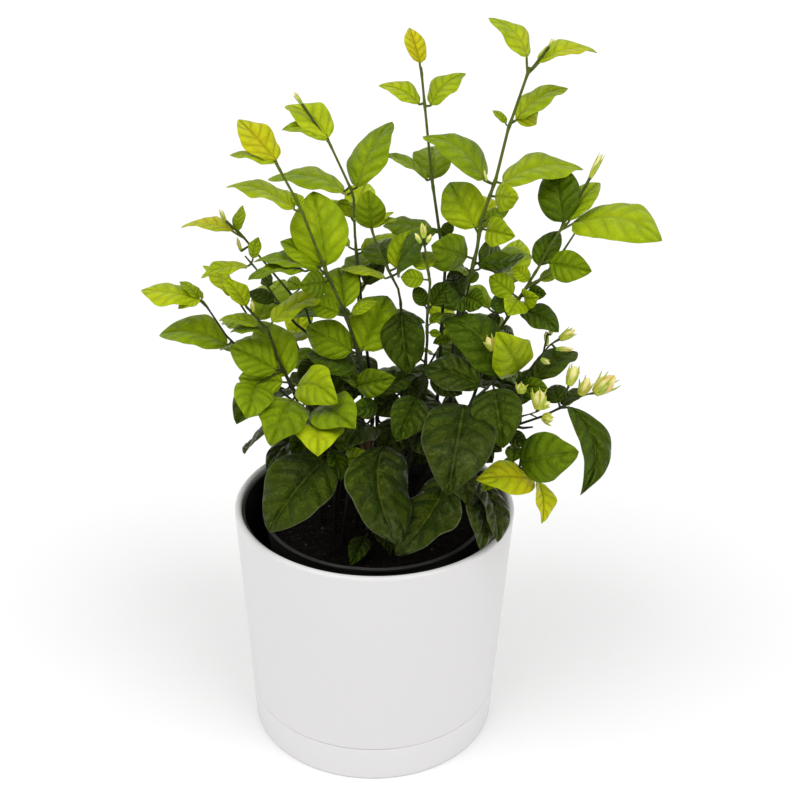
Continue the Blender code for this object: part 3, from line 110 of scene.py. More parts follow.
SHOOTS = (
    Shoot(
        name="pot_front_stem", foot=(-4, -32), girth=1.7,
        stems=(
            ((379, 480, -34), (384, 446, -34)),
            ((379, 480, -34), (372, 510, -42), (366, 530, -50)),
        ),
        leaves=(
            Leaf((384, 446), (401, 544), 58, 0.96, arch=0.12, bend=0.21),
            Leaf((366, 530), (351, 564), 20, 0.8), Leaf((373, 515), (391, 553), 17, 0.9),
        ),
    ),
    Shoot(
        name="pot_left_stem", foot=(-20, -30), girth=1.7,
        stems=(
            ((348, 480, -34), (333, 450, -34), (326, 436, -32)),
        ),
        leaves=(
            Leaf((331, 451), (268, 530), 60, 0.93, arch=0.1, toward=1),
            Leaf((326, 444), (342, 480), 18, 0.66, toward=1),
            Leaf((340, 462), (370, 455), 20, 0.45, toward=1), Leaf((328, 438), (357, 442), 18, 0.7),
        ),
    ),
    Shoot(
        name="front_stem", foot=(14, -36), girth=1.8,
        stems=(
            ((440, 480, -38), (452, 440, -40), (470, 404, -42), (487, 388, -34), (502, 370, -24)),
        ),
        leaves=(
            Leaf((502, 371), (446, 317), 32, 0.78, bend=0.1),
            Leaf((486, 388), (423, 367), 34, 0.92, arch=0.12),
            Leaf((492, 382), (503, 446), 47, 0.9, arch=0.12, toward=1),
            Leaf((464, 405), (448, 492), 68, 0.92, arch=0.1),
            Leaf((446, 478), (394, 553), 47, 0.98, arch=0.06, bend=-0.15),
            Leaf((449, 450), (470, 505), 26, 0.95, toward=1),
        ),
        buds=(Bud((493, 350), (487, 337), 11, depth=-8, sepals=7, blush=0.7),),
    ),
    Shoot(
        name="right_bottom_stem", foot=(30, -30), girth=1.6,
        stems=(
            ((470, 478, -36), (495, 472, -46), (513, 466, -50), (525, 471, -50), (537, 480, -50)),
        ),
        leaves=(
            Leaf((520, 461), (577, 452), 46, 0.6, toward=1),
            Leaf((534, 480), (478, 478), 27, 0.1, fold=0.25),
            Leaf((538, 482), (543, 523), 17, 0.16, fold=0.3), Leaf((512, 465), (514, 444), 16, 0.6),
            Leaf((500, 472), (514, 460), 12, 0.4), Leaf((503, 472), (483, 491), 14, 0.36),
            Leaf((480, 482), (500, 541), 22, 0.97, toward=1), Leaf((474, 480), (483, 549), 13, 0.94),
        ),
    ),
    Shoot(
        name="left_middle_stem", foot=(-26, -16), girth=1.7,
        stems=(
            ((334, 440, -22), (316, 414, -22), (300, 398, -20), (290, 383, -18), (280, 365, -16),
            (275, 350, -14), (268, 330, -14), (255, 316, -14), (246, 306, -14)),
        ),
        leaves=(
            Leaf((316, 418), (318, 453), 47, 0.27, arch=0.14, toward=1),
            Leaf((319, 407), (354, 426), 44, 0.42, toward=1),
            Leaf((289, 385), (336, 402), 39, 0.28, bend=-0.12, toward=1),
            Leaf((290, 382), (258, 320), 45, 0.34), Leaf((276, 370), (230, 346), 34, 0.45),
            Leaf((288, 384), (238, 378), 31, 0.36), Leaf((257, 384), (247, 416), 38, 0.42, toward=1),
            Leaf((298, 393), (271, 443), 45, 0.5, toward=1), Leaf((272, 322), (325, 293), 18, 0.2),
            Leaf((266, 328), (219, 319), 11, 0.3), Leaf((265, 331), (230, 331), 8, 0.42),
            Leaf((246, 306), (224, 278), 18, 0.25),
        ),
        buds=(Bud((253, 312), (252, 301), 6),),
    ),
    Shoot(
        name="far_left_stem", foot=(-36, -2), girth=1.5,
        stems=(
            ((322, 432, -6), (302, 408, -4), (284, 394, -2), (252, 362, 4), (236, 347, 4), (222, 330, 4),
            (210, 312, 4), (203, 301, 4)),
        ),
        leaves=(
            Leaf((227, 345), (159, 333), 30, 0.32, arch=0.14),
            Leaf((198, 298), (141, 288), 22, 0.2, bend=-0.08), Leaf((200, 299), (178, 308), 12, 0.25),
            Leaf((199, 298), (180, 281), 10, 0.3), Leaf((202, 299), (199, 289), 4, 0.2),
            Leaf((316, 424), (292, 452), 30, 0.9),
        ),
    ),
    Shoot(
        name="left_tall_stem", foot=(-12, -8), girth=1.9,
        stems=(
            ((372, 430, -10), (366, 390, -10), (358, 352, -10), (352, 335, -10), (345, 313, -10),
            (335, 290, -10), (327, 274, -10), (318, 252, -8), (310, 232, -6), (302, 212, -6),
            (292, 192, -4), (280, 170, -4), (276, 163, -4)),
        ),
        leaves=(
            Leaf((329, 272), (313, 190), 54, 0.36, toward=-1),
            Leaf((276, 160), (239, 118), 29, 0.1, bend=-0.06), Leaf((276, 163), (230, 153), 10, 0.22),
            Leaf((302, 212), (227, 184), 17, 0.2, bend=0.06), Leaf((303, 212), (294, 192), 11, 0.3),
            Leaf((326, 274), (281, 240), 24, 0.4), Leaf((325, 274), (254, 259), 14, 0.45),
            Leaf((305, 271), (248, 277), 18, 0.5), Leaf((325, 283), (301, 286), 27, 0.55),
            Leaf((344, 317), (338, 266), 36, 0.42), Leaf((344, 316), (311, 302), 21, 0.33),
            Leaf((346, 319), (377, 301), 11, 0.33), Leaf((362, 350), (388, 295), 50, 0.42),
            Leaf((357, 355), (306, 326), 36, 0.5), Leaf((363, 374), (308, 352), 26, 0.74),
            Leaf((357, 386), (394, 378), 27, 0.6, toward=1), Leaf((367, 392), (335, 366), 15, 0.6),
            Leaf((377, 406), (351, 411), 21, 0.66, toward=1), Leaf((368, 398), (415, 374), 22, 0.85),
            Leaf((371, 420), (347, 446), 34, 0.96),
        ),
    ),
    Shoot(
        name="bud_stem", foot=(16, -12), girth=1.7,
        stems=(
            ((414, 430, -14), (423, 385, -14), (427, 345, -12), (427, 320, -12), (429, 300, -12),
            (430, 280, -12), (427, 262, -12), (425, 248, -12)),
        ),
        leaves=(
            Leaf((422, 392), (397, 440), 36, 0.88, toward=1), Leaf((428, 280), (400, 277), 18, 0.33),
            Leaf((432, 274), (421, 251), 24, 0.32), Leaf((426, 311), (415, 286), 15, 0.82),
            Leaf((429, 311), (449, 282), 20, 0.82), Leaf((427, 326), (443, 313), 9, 0.55),
            Leaf((427, 332), (441, 334), 8, 0.5), Leaf((424, 372), (462, 394), 24, 0.9, toward=1),
            Leaf((425, 362), (404, 348), 24, 0.92), Leaf((416, 420), (437, 455), 32, 0.96),
        ),
    ),
    Shoot(
        name="right_tall_stem", foot=(22, 4), girth=2.0,
        stems=(
            ((446, 430, 4), (453, 350, 6), (460, 300, 8), (470, 275, 8), (474, 262, 8), (478, 244, 8),
            (480, 225, 8), (486, 205, 8), (491, 193, 8), (497, 175, 8), (503, 150, 8), (508, 130, 8),
            (520, 93, 8), (530, 67, 8)),
        ),
        leaves=(
            Leaf((527, 57), (490, 16), 19, 0.2, bend=0.13),
            Leaf((538, 63), (597, 50), 14, 0.2, bend=-0.06),
            Leaf((511, 124), (567, 86), 20, 0.28, bend=-0.07),
            Leaf((512, 124), (538, 106), 20, 0.2, bend=0.1), Leaf((508, 126), (493, 110), 7, 0.3),
            Leaf((484, 180), (424, 134), 28, 0.36, bend=0.15),
            Leaf((503, 183), (583, 166), 26, 0.3, bend=-0.09), Leaf((481, 234), (449, 181), 42, 0.3),
            Leaf((491, 197), (517, 198), 28, 0.33, toward=1), Leaf((482, 222), (509, 209), 12, 0.4),
            Leaf((480, 229), (514, 236), 28, 0.3, toward=1),
            Leaf((476, 260), (433, 246), 35, 0.5, toward=1), Leaf((474, 266), (503, 252), 34, 0.66),
            Leaf((478, 264), (525, 257), 18, 0.66, side=1),
            Leaf((463, 295), (450, 304), 28, 0.74, toward=1),
            Leaf((464, 295), (483, 305), 24, 0.66, toward=1), Leaf((462, 300), (453, 274), 24, 0.86),
            Leaf((466, 286), (478, 272), 10, 0.6), Leaf((455, 338), (433, 343), 10, 0.5),
            Leaf((451, 372), (478, 352), 32, 0.93), Leaf((448, 400), (424, 430), 36, 0.95),
            Leaf((446, 424), (474, 462), 34, 0.96), Leaf((447, 412), (470, 446), 32, 0.95, toward=1),
        ),
        buds=(Bud((549, 47), (554, 38), 5, sepals=3), Bud((487, 181), (484, 170), 4, sepals=2),),
    ),
    Shoot(
        name="right_stem", foot=(34, 14), girth=1.8,
        stems=(
            ((462, 430, 6), (482, 372, 0), (500, 330, -6), (514, 307, -8), (523, 292, -8), (530, 280, -8),
            (540, 265, -8), (550, 246, -6), (558, 232, -6), (564, 225, -6)),
            ((526, 288, -8), (541, 279, -8), (552, 266, -6), (562, 253, -4), (570, 240, -4),
            (575, 233, -4)),
        ),
        leaves=(
            Leaf((563, 222), (555, 163), 40, 0.62), Leaf((569, 221), (599, 181), 25, 0.34),
            Leaf((573, 223), (662, 237), 38, 0.3, bend=-0.12), Leaf((541, 262), (591, 271), 30, 0.5),
            Leaf((533, 272), (558, 230), 24, 0.62), Leaf((534, 284), (514, 267), 15, 0.26),
            Leaf((536, 284), (556, 272), 12, 0.28), Leaf((524, 291), (546, 294), 14, 0.76),
            Leaf((519, 298), (489, 276), 22, 0.34), Leaf((519, 296), (509, 314), 26, 0.28, toward=1),
            Leaf((521, 296), (538, 298), 20, 0.3, toward=1),
            Leaf((515, 307), (559, 331), 23, 0.72, bend=-0.05), Leaf((507, 318), (496, 293), 20, 0.64),
            Leaf((500, 330), (488, 314), 16, 0.9), Leaf((497, 337), (514, 332), 18, 0.9),
            Leaf((482, 372), (506, 352), 30, 0.93), Leaf((472, 402), (504, 424), 34, 0.94, toward=1),
            Leaf((464, 424), (492, 462), 32, 0.96),
        ),
        buds=(Bud((590, 178), (602, 154), 8, sepals=4),),
    ),
    Shoot(
        name="right_low_stem", foot=(36, -8), girth=1.7,
        stems=(
            ((468, 440, -14), (492, 412, -18), (512, 390, -18), (526, 373, -16), (536, 362, -14)),
        ),
        leaves=(
            Leaf((523, 379), (498, 334), 43, 0.3, arch=0.1, toward=1),
            Leaf((534, 380), (577, 350), 24, 0.85, toward=-1),
            Leaf((514, 386), (547, 388), 20, 0.55, toward=1), Leaf((510, 390), (540, 373), 20, 0.66),
            Leaf((508, 394), (530, 399), 18, 0.85), Leaf((478, 428), (500, 450), 28, 0.94),
        ),
    ),
    Shoot(
        name="far_right_stem", foot=(42, -18), girth=1.7,
        stems=(
            ((484, 450, -28), (502, 434, -34), (517, 425, -36), (531, 421, -36), (548, 414, -34),
            (557, 410, -32), (566, 405, -30)),
            ((514, 426, -36), (523, 428, -36), (533, 427, -36)),
        ),
        leaves=(
            Leaf((570, 407), (583, 494), 30, 0.8, bend=-0.2, toward=1, lean=0.42),
            Leaf((562, 407), (553, 384), 22, 0.9), Leaf((564, 406), (580, 387), 16, 0.88),
            Leaf((505, 432), (527, 445), 16, 0.9, toward=1),
        ),
    ),
    Shoot(
        name="left_back_stem", foot=(-24, 18), girth=1.6,
        stems=(
            ((345, 430, 16), (330, 385, 18), (318, 345, 20), (306, 310, 22), (290, 293, 22),
            (277, 276, 22), (258, 255, 22), (248, 241, 22), (240, 233, 22)),
            ((316, 340, 20), (298, 326, 14), (285, 312, 14), (272, 294, 14), (262, 278, 14),
            (254, 266, 14), (245, 256, 14)),
        ),
        leaves=(
            Leaf((233, 231), (181, 225), 10, 0.14), Leaf((238, 231), (242, 205), 11, 0.3),
            Leaf((247, 266), (201, 276), 12, 0.2), Leaf((254, 262), (258, 237), 12, 0.35),
            Leaf((280, 304), (249, 291), 15, 0.78), Leaf((301, 287), (287, 280), 14, 0.4),
            Leaf((272, 283), (262, 276), 14, 0.8), Leaf((322, 356), (298, 378), 18, 0.85),
            Leaf((327, 372), (356, 366), 20, 0.9), Leaf((336, 404), (306, 434), 36, 0.92),
            Leaf((343, 424), (318, 457), 34, 0.95), Leaf((338, 410), (362, 432), 28, 0.94),
            Leaf((324, 364), (346, 342), 26, 0.92),
        ),
        buds=(Bud((226, 221), (219, 209), 6, sepals=3), Bud((241, 251), (237, 237), 5, sepals=3),),
    ),
    Shoot(
        name="upper_middle_stem", foot=(2, 6), girth=1.6,
        stems=(
            ((400, 420, 8), (402, 360, 8), (400, 297, 8), (389, 272, 12), (377, 245, 14), (371, 228, 14),
            ),
        ),
        leaves=(
            Leaf((403, 303), (408, 373), 36, 0.86, arch=0.1, toward=1),
            Leaf((371, 228), (393, 211), 7, 0.2), Leaf((371, 228), (398, 218), 7, 0.3),
            Leaf((371, 228), (354, 218), 8, 0.3), Leaf((372, 228), (368, 191), 29, 0.4, toward=1),
            Leaf((386, 272), (380, 240), 36, 0.62, side=1), Leaf((385, 278), (341, 268), 8, 0.25),
            Leaf((396, 268), (410, 230), 26, 0.3), Leaf((397, 273), (435, 228), 18, 0.72, toward=1),
            Leaf((401, 320), (380, 345), 24, 0.88, toward=1), Leaf((401, 340), (421, 322), 22, 0.9),
            Leaf((401, 376), (424, 398), 32, 0.94, toward=1), Leaf((401, 392), (376, 414), 32, 0.95),
            Leaf((400, 412), (384, 456), 32, 0.97),
        ),
    ),
    Shoot(
        name="centre_tall_stem", foot=(14, 26), girth=1.8,
        stems=(
            ((432, 430, 30), (440, 350, 32), (445, 275, 34), (441, 245, 34), (439, 223, 34),
            (436, 205, 34), (433, 187, 34), (431, 170, 34), (427, 130, 34), (426, 112, 34), (424, 90, 34),
            (421, 67, 34)),
        ),
        leaves=(
            Leaf((420, 63), (410, 27), 19, 0.08, bend=-0.07),
            Leaf((419, 104), (379, 84), 16, 0.2, bend=0.04),
            Leaf((431, 105), (465, 72), 21, 0.24, bend=-0.07),
            Leaf((427, 180), (379, 153), 9, 0.34, bend=-0.04), Leaf((434, 188), (432, 144), 37, 0.46),
            Leaf((442, 231), (383, 224), 18, 0.5), Leaf((441, 241), (452, 221), 12, 0.75),
            Leaf((445, 290), (468, 268), 20, 0.86), Leaf((442, 330), (470, 318), 24, 0.92),
            Leaf((435, 404), (462, 420), 34, 0.96), Leaf((432, 424), (412, 464), 34, 0.97),
        ),
    ),
    Shoot(
        name="second_tall_stem", foot=(-6, 24), girth=1.7,
        stems=(
            ((378, 420, 26), (368, 360, 28), (362, 310, 30), (358, 262, 30), (355, 236, 30),
            (355, 215, 30), (353, 195, 30), (346, 179, 30), (338, 163, 30), (328, 140, 30)),
        ),
        leaves=(
            Leaf((328, 138), (285, 104), 28, 0.24, bend=0.07),
            Leaf((328, 140), (282, 128), 16, 0.28, bend=0.12), Leaf((357, 187), (390, 120), 31, 0.4),
            Leaf((344, 191), (268, 176), 18, 0.34, bend=0.1), Leaf((352, 208), (337, 202), 10, 0.4),
            Leaf((356, 254), (380, 247), 23, 0.3), Leaf((360, 284), (341, 266), 18, 0.55),
            Leaf((360, 290), (384, 262), 18, 0.8), Leaf((365, 338), (392, 322), 24, 0.9),
            Leaf((370, 372), (346, 388), 34, 0.94), Leaf((374, 396), (396, 414), 26, 0.95),
            Leaf((378, 418), (402, 455), 34, 0.96),
        ),
        buds=(Bud((302, 104), (294, 92), 6, sepals=3), Bud((347, 195), (337, 188), 5, sepals=2),),
    ),
)

SPRAYS = (
    Spray(
        name="bud_spray_top", on="bud_stem", girth=0.8,
        stems=(
            ((425, 246, -12), (424, 242, -12)),
        ),
        buds=(
            Bud((424, 238), (422, 223), 8, sepals=4), Bud((421, 243), (415, 233), 6, sepals=3),
            Bud((427, 243), (431, 234), 6, sepals=3),
        ),
    ),
    Spray(
        name="bud_spray_right", on="right_low_stem", girth=1.0,
        stems=(
            ((537, 361, -14), (543, 353, -14), (550, 345, -14), (557, 340, -14)),
            ((543, 353, -14), (546, 341, -16), (548, 332, -16)),
        ),
        buds=(
            Bud((560, 339), (575, 330), 10, blush=0.4), Bud((551, 334), (552, 321), 7, sepals=3),
            Bud((547, 345), (546, 331), 6, sepals=4), Bud((556, 349), (574, 349), 6, sepals=2),
            Bud((541, 359), (550, 364), 7, sepals=4),
        ),
    ),
    Spray(
        name="bud_spray_far_right", on="far_right_stem", girth=1.0,
        stems=(
            ((567, 404, -30), (565, 395, -30), (568, 388, -30)),
            ((566, 402, -30), (578, 398, -30), (592, 393, -30)),
        ),
        buds=(
            Bud((569, 385), (576, 366), 13, sepals=4, blush=0.1),
            Bud((581, 395), (589, 378), 13, sepals=4, blush=0.4),
            Bud((595, 393), (615, 376), 18, blush=0.8),
        ),
    ),
    Spray(
        name="bud_spray_low", on="far_right_stem", girth=0.9,
        stems=(
            ((520, 417, -40), (521, 408, -42), (521, 396, -42)),
            ((520, 417, -40), (530, 414, -44), (539, 411, -46)),
            ((530, 414, -44), (538, 418, -44), (545, 417, -44)),
        ),
        buds=(
            Bud((521, 393), (521, 383), 12), Bud((538, 409), (540, 390), 15, sepals=6, blush=0.2),
            Bud((543, 417), (553, 420), 13, sepals=6), Bud((541, 408), (550, 402), 9, sepals=4),
            Bud((520, 416), (517, 409), 8, sepals=4),
        ),
    ),
)

# Stems at the back, which the picture hides: foot and top in mm, and a seed for the small draws.
BackStem = namedtuple("BackStem", "name foot top pairs seed")
BACK_STEMS = (
    BackStem(name="back_left_stem", foot=(-34, 34), top=(-96, 62, 286), pairs=4, seed=11),
    BackStem(name="back_stem", foot=(-8, 46), top=(-18, 104, 330), pairs=5, seed=23),
    BackStem(name="back_right_stem", foot=(30, 38), top=(92, 74, 296), pairs=4, seed=37),
    BackStem(name="back_low_left_stem", foot=(-30, 52), top=(-62, 116, 232), pairs=3, seed=41),
    BackStem(name="back_low_right_stem", foot=(12, 54), top=(52, 122, 240), pairs=3, seed=59),
    BackStem(name="back_inner_stem", foot=(40, 26), top=(66, 42, 345), pairs=4, seed=67),
)
# End of the readings.

# Where the picture was taken from: metres, with the pot's foot at the origin and +Y away from the viewer.
EYE = Vector((0.0157, -0.744, 0.607))
LOOK_DOWN = math.radians(26.2)
ROLL = math.radians(0.93)
FOCAL_PIXELS = 1290.0
MIDDLE = 400.0
FORWARD = Vector((0, math.cos(LOOK_DOWN), -math.sin(LOOK_DOWN)))
UPWARD = Vector((0, math.sin(LOOK_DOWN), math.cos(LOOK_DOWN)))
RIGHTWARD = Vector((1, 0, 0))

SOIL_TOP = 0.150
STEM_FOOT = 0.124
STEM_COLLAR_STEPS = 16
PETIOLE = 0.005
PETIOLE_WIDE = 0.0026
CLEAR_THICK = 0.0017
SAMPLE_STEP = 0.002
SLIM, BROAD = 0.3, 0.62
STEM_FREE = 0.006
# A leaf keeps above each height where it lies further out than the radius: soil, nursery rim, planter rim.
POT_LIMITS = ((0.154, 0.0), (0.163, 0.0715), (0.168, 0.0845))
BACK_LONG = (0.052, 0.030)
BACK_AGE = (0.95, 0.20)
BACK_CLIMB = (-28.0, 34.0)
BACK_BARE = 0.46
BACK_KNEE = (0.42, 0.024)
BACK_TURN = 31
BACK_BROAD = 0.64
BACK_SWAY, BACK_TILT, BACK_UNEVEN = 16, 10, (0.85, 1.12)
TRUNK_FOOT = (0.001, -0.014)
TRUNK_TOP_PIXEL = (364, 434)
TRUNK_TOP_DEPTH = -0.026
TRUNK_RADIUS = 0.0036
STEM_SLACK = 0.0007


def sight(pixel):
    """The direction from the eye through a pixel, one unit long along the line of sight's own depth."""
    u, v = pixel[0] - MIDDLE, pixel[1] - MIDDLE
    across = u * math.cos(ROLL) + v * math.sin(ROLL)
    down = -u * math.sin(ROLL) + v * math.cos(ROLL)
    return FORWARD + (RIGHTWARD * across - UPWARD * down) / FOCAL_PIXELS


def place(pixel, depth):
    """The point seen at a pixel, depth metres behind the pot's middle."""
    ray = sight(pixel)
    return EYE + ray * ((depth - EYE.y) / ray.y)


def seen_at(point):
    """The pixel at which a point is seen."""
    ray = point - EYE
    far = ray.dot(FORWARD)
    across = ray.dot(RIGHTWARD) / far * FOCAL_PIXELS
    down = -ray.dot(UPWARD) / far * FOCAL_PIXELS
    u = across * math.cos(ROLL) - down * math.sin(ROLL)
    v = across * math.sin(ROLL) + down * math.cos(ROLL)
    return Vector((u + MIDDLE, v + MIDDLE))


def smooth_path(points, step):
    """Points about one step apart on a smooth curve through the given ones."""
    ends = [points[0] * 2 - points[1], *points, points[-1] * 2 - points[-2]]
    path = []
    for a, b, c, d in zip(ends, ends[1:], ends[2:], ends[3:]):
        count = max(1, round((c - b).length / step))
        for i in range(count):
            t = i / count
            path.append(
                (
                    b * 2
                    + (c - a) * t
                    + (a * 2 - b * 5 + c * 4 - d) * t**2
                    + (b * 3 - a - c * 3 + d) * t**3
                )
                / 2
            )
    return path + [points[-1]]


def stem_paths(shoot):
    """Each stem of a shoot as points in space: the first out of the soil, the rest off it."""
    paths = []
    for i, stem in enumerate(shoot.stems):
        points = [place((x, y), depth / 1000) for x, y, depth in stem]
        if i == 0:
            paths.append(rooted_path(shoot.foot, points))
        else:
            points[0] = nearest_on(paths, seen_at(points[0]))[0]
            paths.append(straightened(smooth_path(points, SAMPLE_STEP)))
    return paths


def key_points(path, slack):
    """The fewest points of a path that stay within slack of all of it, as their places in the list."""
    ends = (path[-1] - path[0]).normalized()
    off = [((p - path[0]) - ends * (p - path[0]).dot(ends)).length for p in path]
    far = max(range(len(path)), key=off.__getitem__)
    if off[far] <= slack:
        return [0, len(path) - 1]
    before = key_points(path[: far + 1], slack)
    after = key_points(path[far:], slack)
    return before[:-1] + [far + i for i in after]


def straightened(path):
    """The path drawn straight between its key points, with as many points as before."""
    picks = key_points(path, STEM_SLACK)
    made = []
    for a, b in zip(picks, picks[1:]):
        made += [path[a].lerp(path[b], (i - a) / (b - a)) for i in range(a, b)]
    return made + [path[-1]]


def rooted_path(foot, points):
    """A path straight up out of the soil to its collar, then smooth through the points."""
    low = Vector((foot[0] / 1000, foot[1] / 1000, STEM_FOOT))
    collar = low + Vector((0, 0, STEM_COLLAR_STEPS * SAMPLE_STEP))
    straight = [low.lerp(collar, i / STEM_COLLAR_STEPS) for i in range(STEM_COLLAR_STEPS)]
    return straightened(straight + smooth_path([collar, *points], SAMPLE_STEP))


def nearest_on(paths, pixel, spare=2):
    """The stem point seen nearest to a pixel, short of the last few, and how many pixels off it is."""
    points = [
        p for path in paths for p in path[: len(path) - spare] if p.z > SOIL_TOP + STEM_FREE
    ]
    best = min(points, key=lambda p: (seen_at(p) - Vector(pixel)).length_squared)
    return best, (seen_at(best) - Vector(pixel)).length


class Blade:
    """One leaf: its heel on the stem, the base and tip of its blade, its width and the way it faces."""

    def __init__(self, heel, base, tip, normal, wide, age, fold, arch, bend, phase):
        self.heel, self.base, self.tip = heel, base, tip
        self.normal, self.wide, self.age = normal, wide, age
        self.fold, self.arch, self.bend, self.phase = fold, arch, bend, phase

    def axes(self):
        along = (self.tip - self.base).normalized()
        normal = (self.normal - along * self.normal.dot(along)).normalized()
        return along, along.cross(normal), normal

    def half_width(self, t):
        """Half the blade's width at a share t of its length: a slim blade is drawn to a point, widest
        below its middle, and a broad one is rounder."""
        broad = self.wide / (self.tip - self.base).length
        slim = min(1.0, max(0.0, (BROAD - broad) / (BROAD - SLIM)))
        full = 0.5 + 0.1 * slim + (0.14 + 0.3 * slim) * t
        return self.wide / 2 * max(0.0, math.sin(math.pi * t ** (0.9 - 0.12 * slim))) ** full

    def surface(self, s, t):
        """A point of the middle surface: s from -1 to 1 across, t from 0 to 1 along, the petiole below 0."""
        if t < 0:
            _, side, _ = self.axes()
            return self.base.lerp(self.heel, -t) + side * s * (1 + t) * PETIOLE_WIDE / 2
        long = (self.tip - self.base).length
        along, side, normal = self.axes()
        half = max(self.half_width(t), PETIOLE_WIDE / 2 * (1 - t))
        swell = 4 * t * (1 - t)
        wave = math.sin(2 * math.pi * 1.6 * t + self.phase + (1.9 if s > 0 else 0.0))
        lift = self.fold * abs(s) * half - 0.12 * s * s * half
        lift += 0.028 * long * wave * s * s * min(1.0, swell * 1.5)
        return (
            self.base
            + along * long * t
            + side * (s * half + self.bend * long * swell)
            + normal * (self.arch * long * swell + lift)
        )

    def bent(self, shift, turn):
        """The same leaf, its tip shifted along the line of sight, so it looks alike, and turned round."""
        ray = (self.tip - EYE).normalized()
        tip = self.tip + ray * shift
        along = (tip - self.base).normalized()
        normal = self.normal.copy()
        normal.rotate(Quaternion(along, math.radians(turn)))
        return Blade(
            self.heel, self.base, tip, normal, self.wide, self.age,
            self.fold, self.arch, self.bend, self.phase,
        )

    def rows(self):
        """The shares of the length at which a coarse blade has its rows: more on a longer one."""
        long = (self.tip - self.base).length
        if long > 0.044:
            return (-1.0, 0.0, 0.22, 0.48, 0.76, 1.0)
        if long > 0.026:
            return (-1.0, 0.0, 0.3, 0.66, 1.0)
        if long > 0.014:
            return (-1.0, 0.0, 0.45, 1.0)
        return (-1.0, 0.4, 1.0)

    def tree(self, thick, outer=False):
        """The coarse blade, thickened, to test whether it touches another: whole, or its outer part only."""
        rows = (0.3, 0.6, 1.0) if outer else self.rows()
        _, _, normal = self.axes()
        points = [
            self.surface(s, t) + normal * lift
            for lift in (-thick / 2, thick / 2)
            for t in rows
            for s in (-1.0, 0.0, 1.0)
        ]
        count = 3 * len(rows)
        faces = []
        for r in range(len(rows) - 1):
            for c in range(2):
                a = 3 * r + c
                for b in (a, a + count):
                    faces += [(b, b + 1, b + 4), (b, b + 4, b + 3)]
            for a in (3 * r, 3 * r + 2):
                faces += [(a, a + 3, a + 3 + count), (a, a + 3 + count, a + count)]
        return BVHTree.FromPolygons(points, faces)


def read_blade(leaf, paths, phase):
    """A leaf of the picture in space. It is as long as its width asks for, its tip lies on its own line of
    sight, and where the picture leaves two ways to tilt or to turn it, its upper face looks further up."""
    root = Vector(leaf.root)
    heel, off = nearest_on(paths, root)
    far = (heel - EYE).dot(FORWARD)
    size = far / FOCAL_PIXELS
    base = EYE + sight(root) * far
    if off < 4:
        start = EYE + sight(leaf.tip) * far
        base = heel + (start - heel).normalized() * min(PETIOLE, 0.2 * (start - heel).length)
    flat = EYE + sight(leaf.tip) * far
    long_seen = (flat - base).length
    wide_seen = leaf.wide * size
    long = max(long_seen * 1.02, wide_seen / leaf.lean)
    wide = max(leaf.lean * long, wide_seen)
    ray = sight(leaf.tip).normalized()
    middle = (base - EYE).dot(ray)
    gap = (EYE + ray * middle - base).length
    reach = math.sqrt(max(0.0, long**2 - gap**2))
    found = []
    for way in (-1, 1):
        tip = EYE + ray * (middle + way * reach)
        along = (tip - base).normalized()
        look = (base.lerp(tip, 0.5) - EYE).normalized()
        facing = -(look - along * look.dot(along)).normalized()
        angle = math.acos(min(1.0, wide_seen / wide))
        for turn in (-1, 1):
            normal = facing.copy()
            normal.rotate(Quaternion(along, turn * angle))
            wrong = (leaf.toward and way == leaf.toward) + (leaf.side and turn != leaf.side)
            found.append((-wrong, normal.z, way, turn, tip, normal))
    _, _, _, _, tip, normal = max(found, key=lambda f: f[:4])
    return Blade(
        heel, base, tip, normal, wide, leaf.age, leaf.fold, leaf.arch, leaf.bend, phase
    )


def trunk_path():
    """The old trunk's path: straight up out of the soil, then leaning to its cut top."""
    foot = Vector((*TRUNK_FOOT, STEM_FOOT))
    collar = Vector((*TRUNK_FOOT, SOIL_TOP + 0.004))
    top = place(TRUNK_TOP_PIXEL, TRUNK_TOP_DEPTH)
    return [foot, collar, collar.lerp(top, 0.5) + Vector((0.0015, 0, 0)), top]


def back_path(stem):
    """The path of a back stem: straight up out of the soil, then bowed out to its top."""
    foot = Vector((stem.foot[0] / 1000, stem.foot[1] / 1000, SOIL_TOP))
    top = Vector(stem.top) / 1000
    knee = foot.lerp(top, BACK_KNEE[0]) + Vector((0, 0, BACK_KNEE[1]))
    return rooted_path(stem.foot, [knee, top])


def back_blades(stem, path):
    """Leaves in crossed pairs up a back stem, smaller and younger towards its top."""
    draw = random.Random(stem.seed)
    blades = []
    for pair in range(stem.pairs + 1):
        up = pair / stem.pairs
        share = BACK_BARE + (1 - BACK_BARE) * up
        heel = path[min(len(path) - 3, round(share * (len(path) - 1)))]
        age, long, rise = (a + (b - a) * up for a, b in (BACK_AGE, BACK_LONG, BACK_CLIMB))
        for half in (0, 1):
            sway = draw.uniform(-BACK_SWAY, BACK_SWAY)
            way = math.radians(stem.seed * BACK_TURN + 90 * pair + 180 * half + sway)
            climb = math.radians(rise + draw.uniform(-BACK_TILT, BACK_TILT))
            outward = Vector((math.cos(way), math.sin(way), 0))
            along = outward * math.cos(climb) + Vector((0, 0, math.sin(climb)))
            normal = Vector((0, 0, math.cos(climb))) - outward * math.sin(climb)
            size = long * draw.uniform(*BACK_UNEVEN)
            base = heel + along * PETIOLE
            blades.append(
                Blade(
                    heel, base, base + along * size, normal, size * BACK_BROAD, age, 0.2, 0.09,
                    draw.uniform(-0.05, 0.05), draw.uniform(0, 6.28),
                )
            )
    return blades


